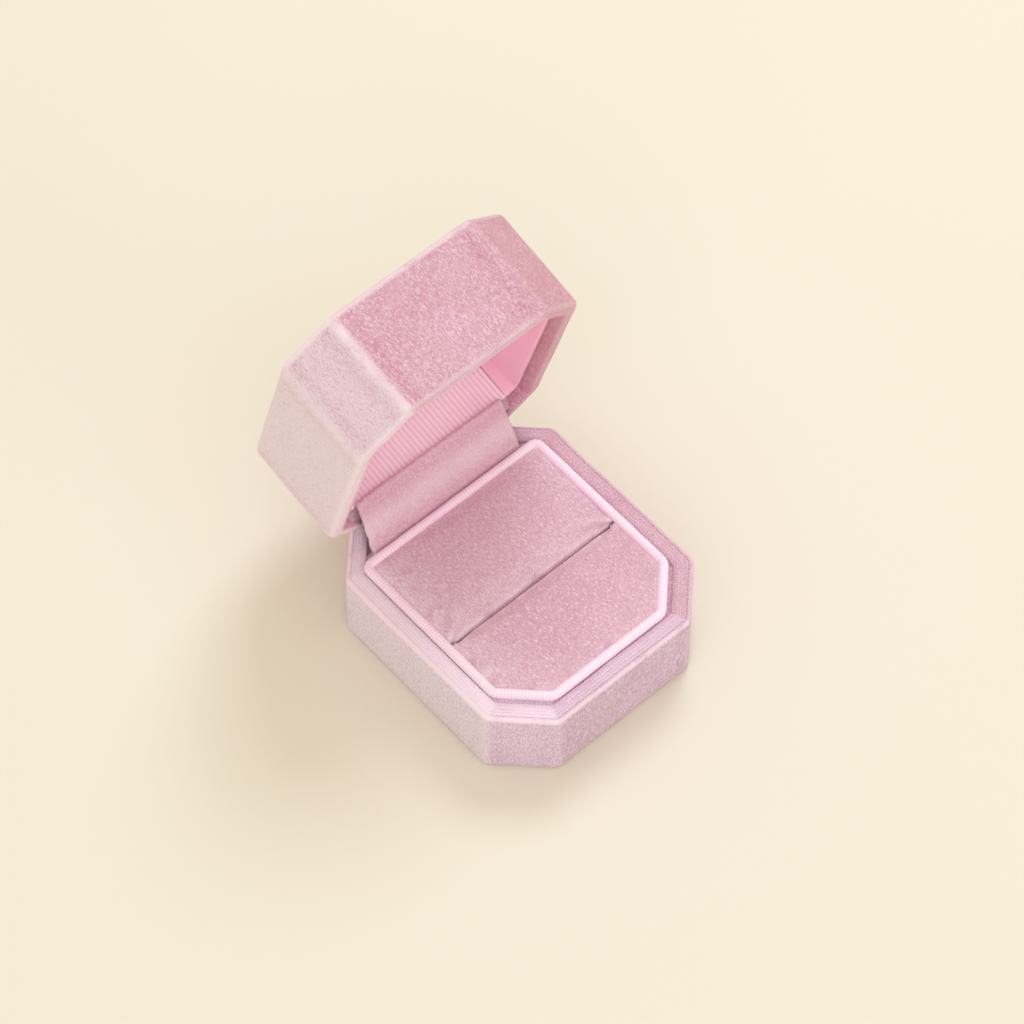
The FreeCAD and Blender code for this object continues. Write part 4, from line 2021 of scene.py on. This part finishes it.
@dataclass
class LidLining(SubAssembly):
    """Ribbed cloth up the lid's back and over its ceiling, and smooth satin on the other sides.

    The back hem is a row of points: depth from the tray's back and height from the lower edge. The
    satin's hem is one too: inset from the tray and height from the lower edge.
    """

    rib_pitch: float = 0.94
    rib_depth: float = 0.2
    rib_power: float = 0.75
    steps_per_rib: int = 6
    cove: float = 3.6
    cloth: float = 1.2
    back_cut: float = 2.2
    back_hem: Tuple[Point2, ...] = ((-0.05, 1.2), (-0.05, -0.1), (-0.3, -0.3), (-0.9, -0.3), (-1.15, -0.1))
    back_start: float = 0.3
    back_steps: int = 5
    cove_steps: int = 8
    side_lap: float = 0.1
    front_gap: float = 0.1
    front_lap: float = 0.6
    dents: Ripple = Ripple(9.0, 0.12, 4.0)
    satin_hem: Tuple[Point2, ...] = ((0.1, 1.5), (0.1, 0.1), (0.3, -0.2), (0.75, -0.25), (1.05, -0.1))
    satin_start: float = 0.25
    satin_steps: int = 8
    satin_puff: float = 0.22
    satin_turn: float = 1.0

    @property
    def front_turn(self) -> float:
        """Depth at which the lining's front corners start to turn in."""
        return -self.sizes.depth / 2 + self.sizes.rim + self.sizes.insert_cut

    @property
    def back_turn(self) -> float:
        """Depth at which the lining's back corners start to turn in."""
        return self.sizes.liner_back - self.back_cut - self.cloth * (math.sqrt(2) - 1)

    def profile(self) -> List[Point2]:
        """Give the ribbed cloth's side view in the shut lid, from its lower hem to the front.

        Returns:
            Points as Y and Z in millimetres.
        """
        s = self.sizes
        face = s.liner_back - self.cloth
        ceiling = s.liner_ceiling
        start = s.liner_low + self.back_start
        found = [(s.liner_back + y, s.liner_low + z) for y, z in self.back_hem]
        for k in range(self.back_steps + 1):
            found.append((face, start + (ceiling - self.cove - start) * k / self.back_steps))
        for k in range(1, self.cove_steps + 1):
            angle = math.radians(90 * k / self.cove_steps)
            y = face - self.cove * (1 - math.cos(angle))
            found.append((y, ceiling - self.cove * (1 - math.sin(angle))))
        back = face - self.cove
        front = -s.depth / 2 + s.rim + self.cloth + self.front_gap
        for k in range(1, self.cove_steps + 1):
            found.append((back + (front - back) * k / self.cove_steps, ceiling))
        return found

    def ribbed(self, wardrobe: Wardrobe) -> Piece:
        """Make the ribbed cloth.

        Args:
            wardrobe: The finishes.

        Returns:
            The piece.
        """
        s = self.sizes
        half = s.width / 2 - s.rim - self.cloth + self.side_lap
        columns = round(2 * half / self.rib_pitch) * self.steps_per_rib
        line = self.profile()
        data = MeshData()
        rows = []
        for k, (y, z) in enumerate(line):
            along = (Vector(line[min(len(line) - 1, k + 1)]) - Vector(line[max(0, k - 1)])).normalized()
            limit = half
            if y < self.front_turn:
                limit = half - (self.front_turn - y) + self.front_lap
            limit = min(limit, half - max(0.0, y - self.back_turn))
            row = []
            for c in range(columns + 1):
                x = max(-limit, min(limit, (2 * c / columns - 1) * half))
                wave = 0.5 - 0.5 * math.cos(2 * math.pi * c / self.steps_per_rib)
                lift = -self.rib_depth * (1.0 - wave ** self.rib_power)
                point = Vector((x * MM, (y - along.y * lift) * MM, (z + along.x * lift) * MM))
                point.y += self.dents.at(point)
                # The rib's wave is stored as painted sheen: a painted highlight on each rib, painted shade
                # between.
                row.append(data.add(point, wave))
            rows.append(row)
        for low, high in zip(rows, rows[1:]):
            data.bridge(low, high, closed=False)
        data.faces = [face for face in data.faces if data.has_width(face)]
        obj = data.make("ribbed_lid_lining", s.opened())
        settle(obj, Body.LID, wardrobe.lining, ["lid_ribbed_lining"])
        self.declare(obj, 2 * half, line_length(line))
        return obj

    def declare(self, obj: Piece, width: float, length: float) -> None:
        """Work out a lining's area, at most that of its cut; nothing uses the result.

        Args:
            obj: The lining.
            width: Width of its cut in millimetres.
            length: Length of its cut in millimetres.
        """
        area = sum(face.area for face in obj.data.polygons)
        area = min(area, width * length * MM * MM)

    def keep_on(self, side: Side) -> Keep:
        """Give the test for the faces of one smooth lining.

        Args:
            side: The lining's side.

        Returns:
            The test.
        """
        s = self.sizes
        turn = (self.front_turn + self.satin_turn) * MM
        clear = (s.width / 2 - s.rim - self.back_cut - self.cloth) * MM
        tests: Dict[Side, Keep] = {
            Side.LEFT: lambda middle, station: middle.x < -clear and middle.y >= turn,
            Side.RIGHT: lambda middle, station: middle.x > clear and middle.y >= turn,
            Side.FRONT: lambda middle, station: middle.y < turn,
        }
        return tests[side]

    def satin(self, side: Side, wardrobe: Wardrobe) -> Piece:
        """Make one smooth lining.

        Args:
            side: Its side.
            wardrobe: The finishes.

        Returns:
            The piece.
        """
        s = self.sizes
        outline = TrayOutline(s, s.width / 2 - s.rim, s.depth / 2 - s.rim, s.liner_back, self.back_cut)
        start = s.liner_low + self.satin_start
        stations = [Station(inset, s.liner_low + z) for inset, z in self.satin_hem]
        for k in range(self.satin_steps + 1):
            part = k / self.satin_steps
            puff = self.satin_puff * math.sin(math.pi * part)
            stations.append(Station(self.cloth + puff, start + (s.liner_ceiling - start) * part))
        data = sweep(outline, stations, Pile(soft=0.08), self.keep_on(side))
        obj = data.make("satin_lining_" + side.value, s.opened())
        settle(obj, Body.LID, wardrobe.satin, ["lid_%s_lining" % side.value])
        tall = line_length([(station.inset, station.z) for station in stations])
        self.declare(obj, tall, sum(face.area for face in obj.data.polygons) / MM / MM / tall)
        return obj

    def build(self, wardrobe: Wardrobe) -> List[Piece]:
        """Make the ribbed cloth and the three smooth linings."""
        return [self.ribbed(wardrobe)] + [self.satin(side, wardrobe) for side in Side]


@dataclass(frozen=True)
class SoftLight:
    """One soft light that points at the box.

    Args:
        name: Name of the light.
        place: Its place in metres.
        size: Its width in metres.
        power: Its power in watts.
        colour: Its colour.
        target: The place that it points at, in metres.
    """

    name: str
    place: Point3
    size: float
    power: float
    colour: Point3
    target: Point3 = (0.0, 0.012, 0.02)

    def hang(self) -> None:
        """Hang the light."""
        data = bpy.data.lights.new(self.name, "AREA")
        data.shape = "DISK"
        data.size = self.size
        data.energy = self.power
        data.color = self.colour
        obj = bpy.data.objects.new(self.name, data)
        obj.location = self.place
        aim = Vector(self.target) - Vector(self.place)
        obj.rotation_euler = aim.to_track_quat("-Z", "Y").to_euler()
        bpy.context.scene.collection.objects.link(obj)


@dataclass(frozen=True)
class Studio:
    """Pale floor, soft lights and the camera of the photograph."""

    azimuth: float = -41.74
    elevation: float = 57.72
    roll: float = 0.31
    distance: float = 738.27
    target: Point3 = (9.46, 12.54, 10.0)
    focal_px: float = 4160.66
    frame_px: float = 1024.0
    sensor: float = 36.0
    nearest: float = 0.01
    floor_half: float = 1.6
    floor_colour: Colour = srgb(238, 230, 216)
    shade_colour: Colour = srgb(236, 228, 213)
    shade_share: float = 0.5
    shade_scale: float = 9.0
    sky_colour: Colour = (1.0, 0.898, 0.738, 1.0)
    sky_strength: float = 0.74
    lights: Tuple[SoftLight, ...] = (
        SoftLight("key", (0.42, 0.25, 0.75), 0.40, 2.9, (0.78, 0.91, 1.0)),
        SoftLight("fill", (-0.50, -0.40, 0.70), 0.8, 1.9, (0.80, 0.92, 1.0)),
        SoftLight("front", (0.10, -0.80, 0.30), 0.6, 1.1, (0.84, 0.94, 1.0)),
    )

    def camera(self) -> None:
        """Place the camera."""
        az, el, roll = (math.radians(a) for a in (self.azimuth, self.elevation, self.roll))
        back = Vector((math.sin(az) * math.cos(el), -math.cos(az) * math.cos(el), math.sin(el)))
        right = Vector((0, 0, 1)).cross(back).normalized()
        up = back.cross(right)
        side = right * math.cos(roll) + up * math.sin(roll)
        top = back.cross(side)
        place = (Vector(self.target) + back * self.distance) * MM
        data = bpy.data.cameras.new("camera")
        data.sensor_width = self.sensor
        data.lens = self.focal_px / self.frame_px * self.sensor
        data.clip_start = self.nearest
        obj = bpy.data.objects.new("camera", data)
        turn = Matrix((side, top, back)).transposed().to_4x4()
        obj.matrix_world = Matrix.Translation(place) @ turn
        bpy.context.scene.collection.objects.link(obj)
        bpy.context.scene.camera = obj

    def floor(self) -> None:
        """Lay the floor."""
        mesh = bpy.data.meshes.new("floor")
        size = self.floor_half
        corners = [(-size, -size, 0), (size, -size, 0), (size, size, 0), (-size, size, 0)]
        mesh.from_pydata(corners, [], [(0, 1, 2, 3)])
        obj = bpy.data.objects.new("floor", mesh)
        bpy.context.scene.collection.objects.link(obj)
        paper = Swatch("floor_paper")
        cloud = paper.grained(paper.placed(), self.shade_scale)
        colour = paper.mixed(paper.scaled(cloud, self.shade_share), self.floor_colour, self.shade_colour)
        paper.finish(colour, {"Roughness": 0.95, "Specular IOR Level": 0.1})
        mesh.materials.append(paper.material)

    def build(self) -> None:
        """Set up the whole studio."""
        scene = bpy.context.scene
        scene.view_settings.view_transform = "Standard"
        scene.view_settings.look = "None"
        world = bpy.data.worlds.new("studio")
        world.use_nodes = True
        sky = world.node_tree.nodes["Background"]
        sky.inputs["Color"].default_value = self.sky_colour
        sky.inputs["Strength"].default_value = self.sky_strength
        scene.world = world
        self.floor()
        self.camera()
        for light in self.lights:
            light.hang()


def main() -> None:
    """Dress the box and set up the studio."""
    logging.basicConfig(level=logging.INFO)
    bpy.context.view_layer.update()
    sizes = BoxSizes()
    wardrobe = Wardrobe()
    wardrobe.dress_nodes()
    assemblies: List[SubAssembly] = [
        BaseShell(sizes), LidShell(sizes), Cushion(sizes, front=True), Cushion(sizes, front=False),
        Piping(sizes), HingeStrip(sizes), LidLining(sizes),
    ]
    for assembly in assemblies:
        for piece in assembly.build(wardrobe):
            LOG.info("%s: %d faces", piece.name, len(piece.data.polygons))
    Studio().build()


if __name__ == "__main__":
    main()
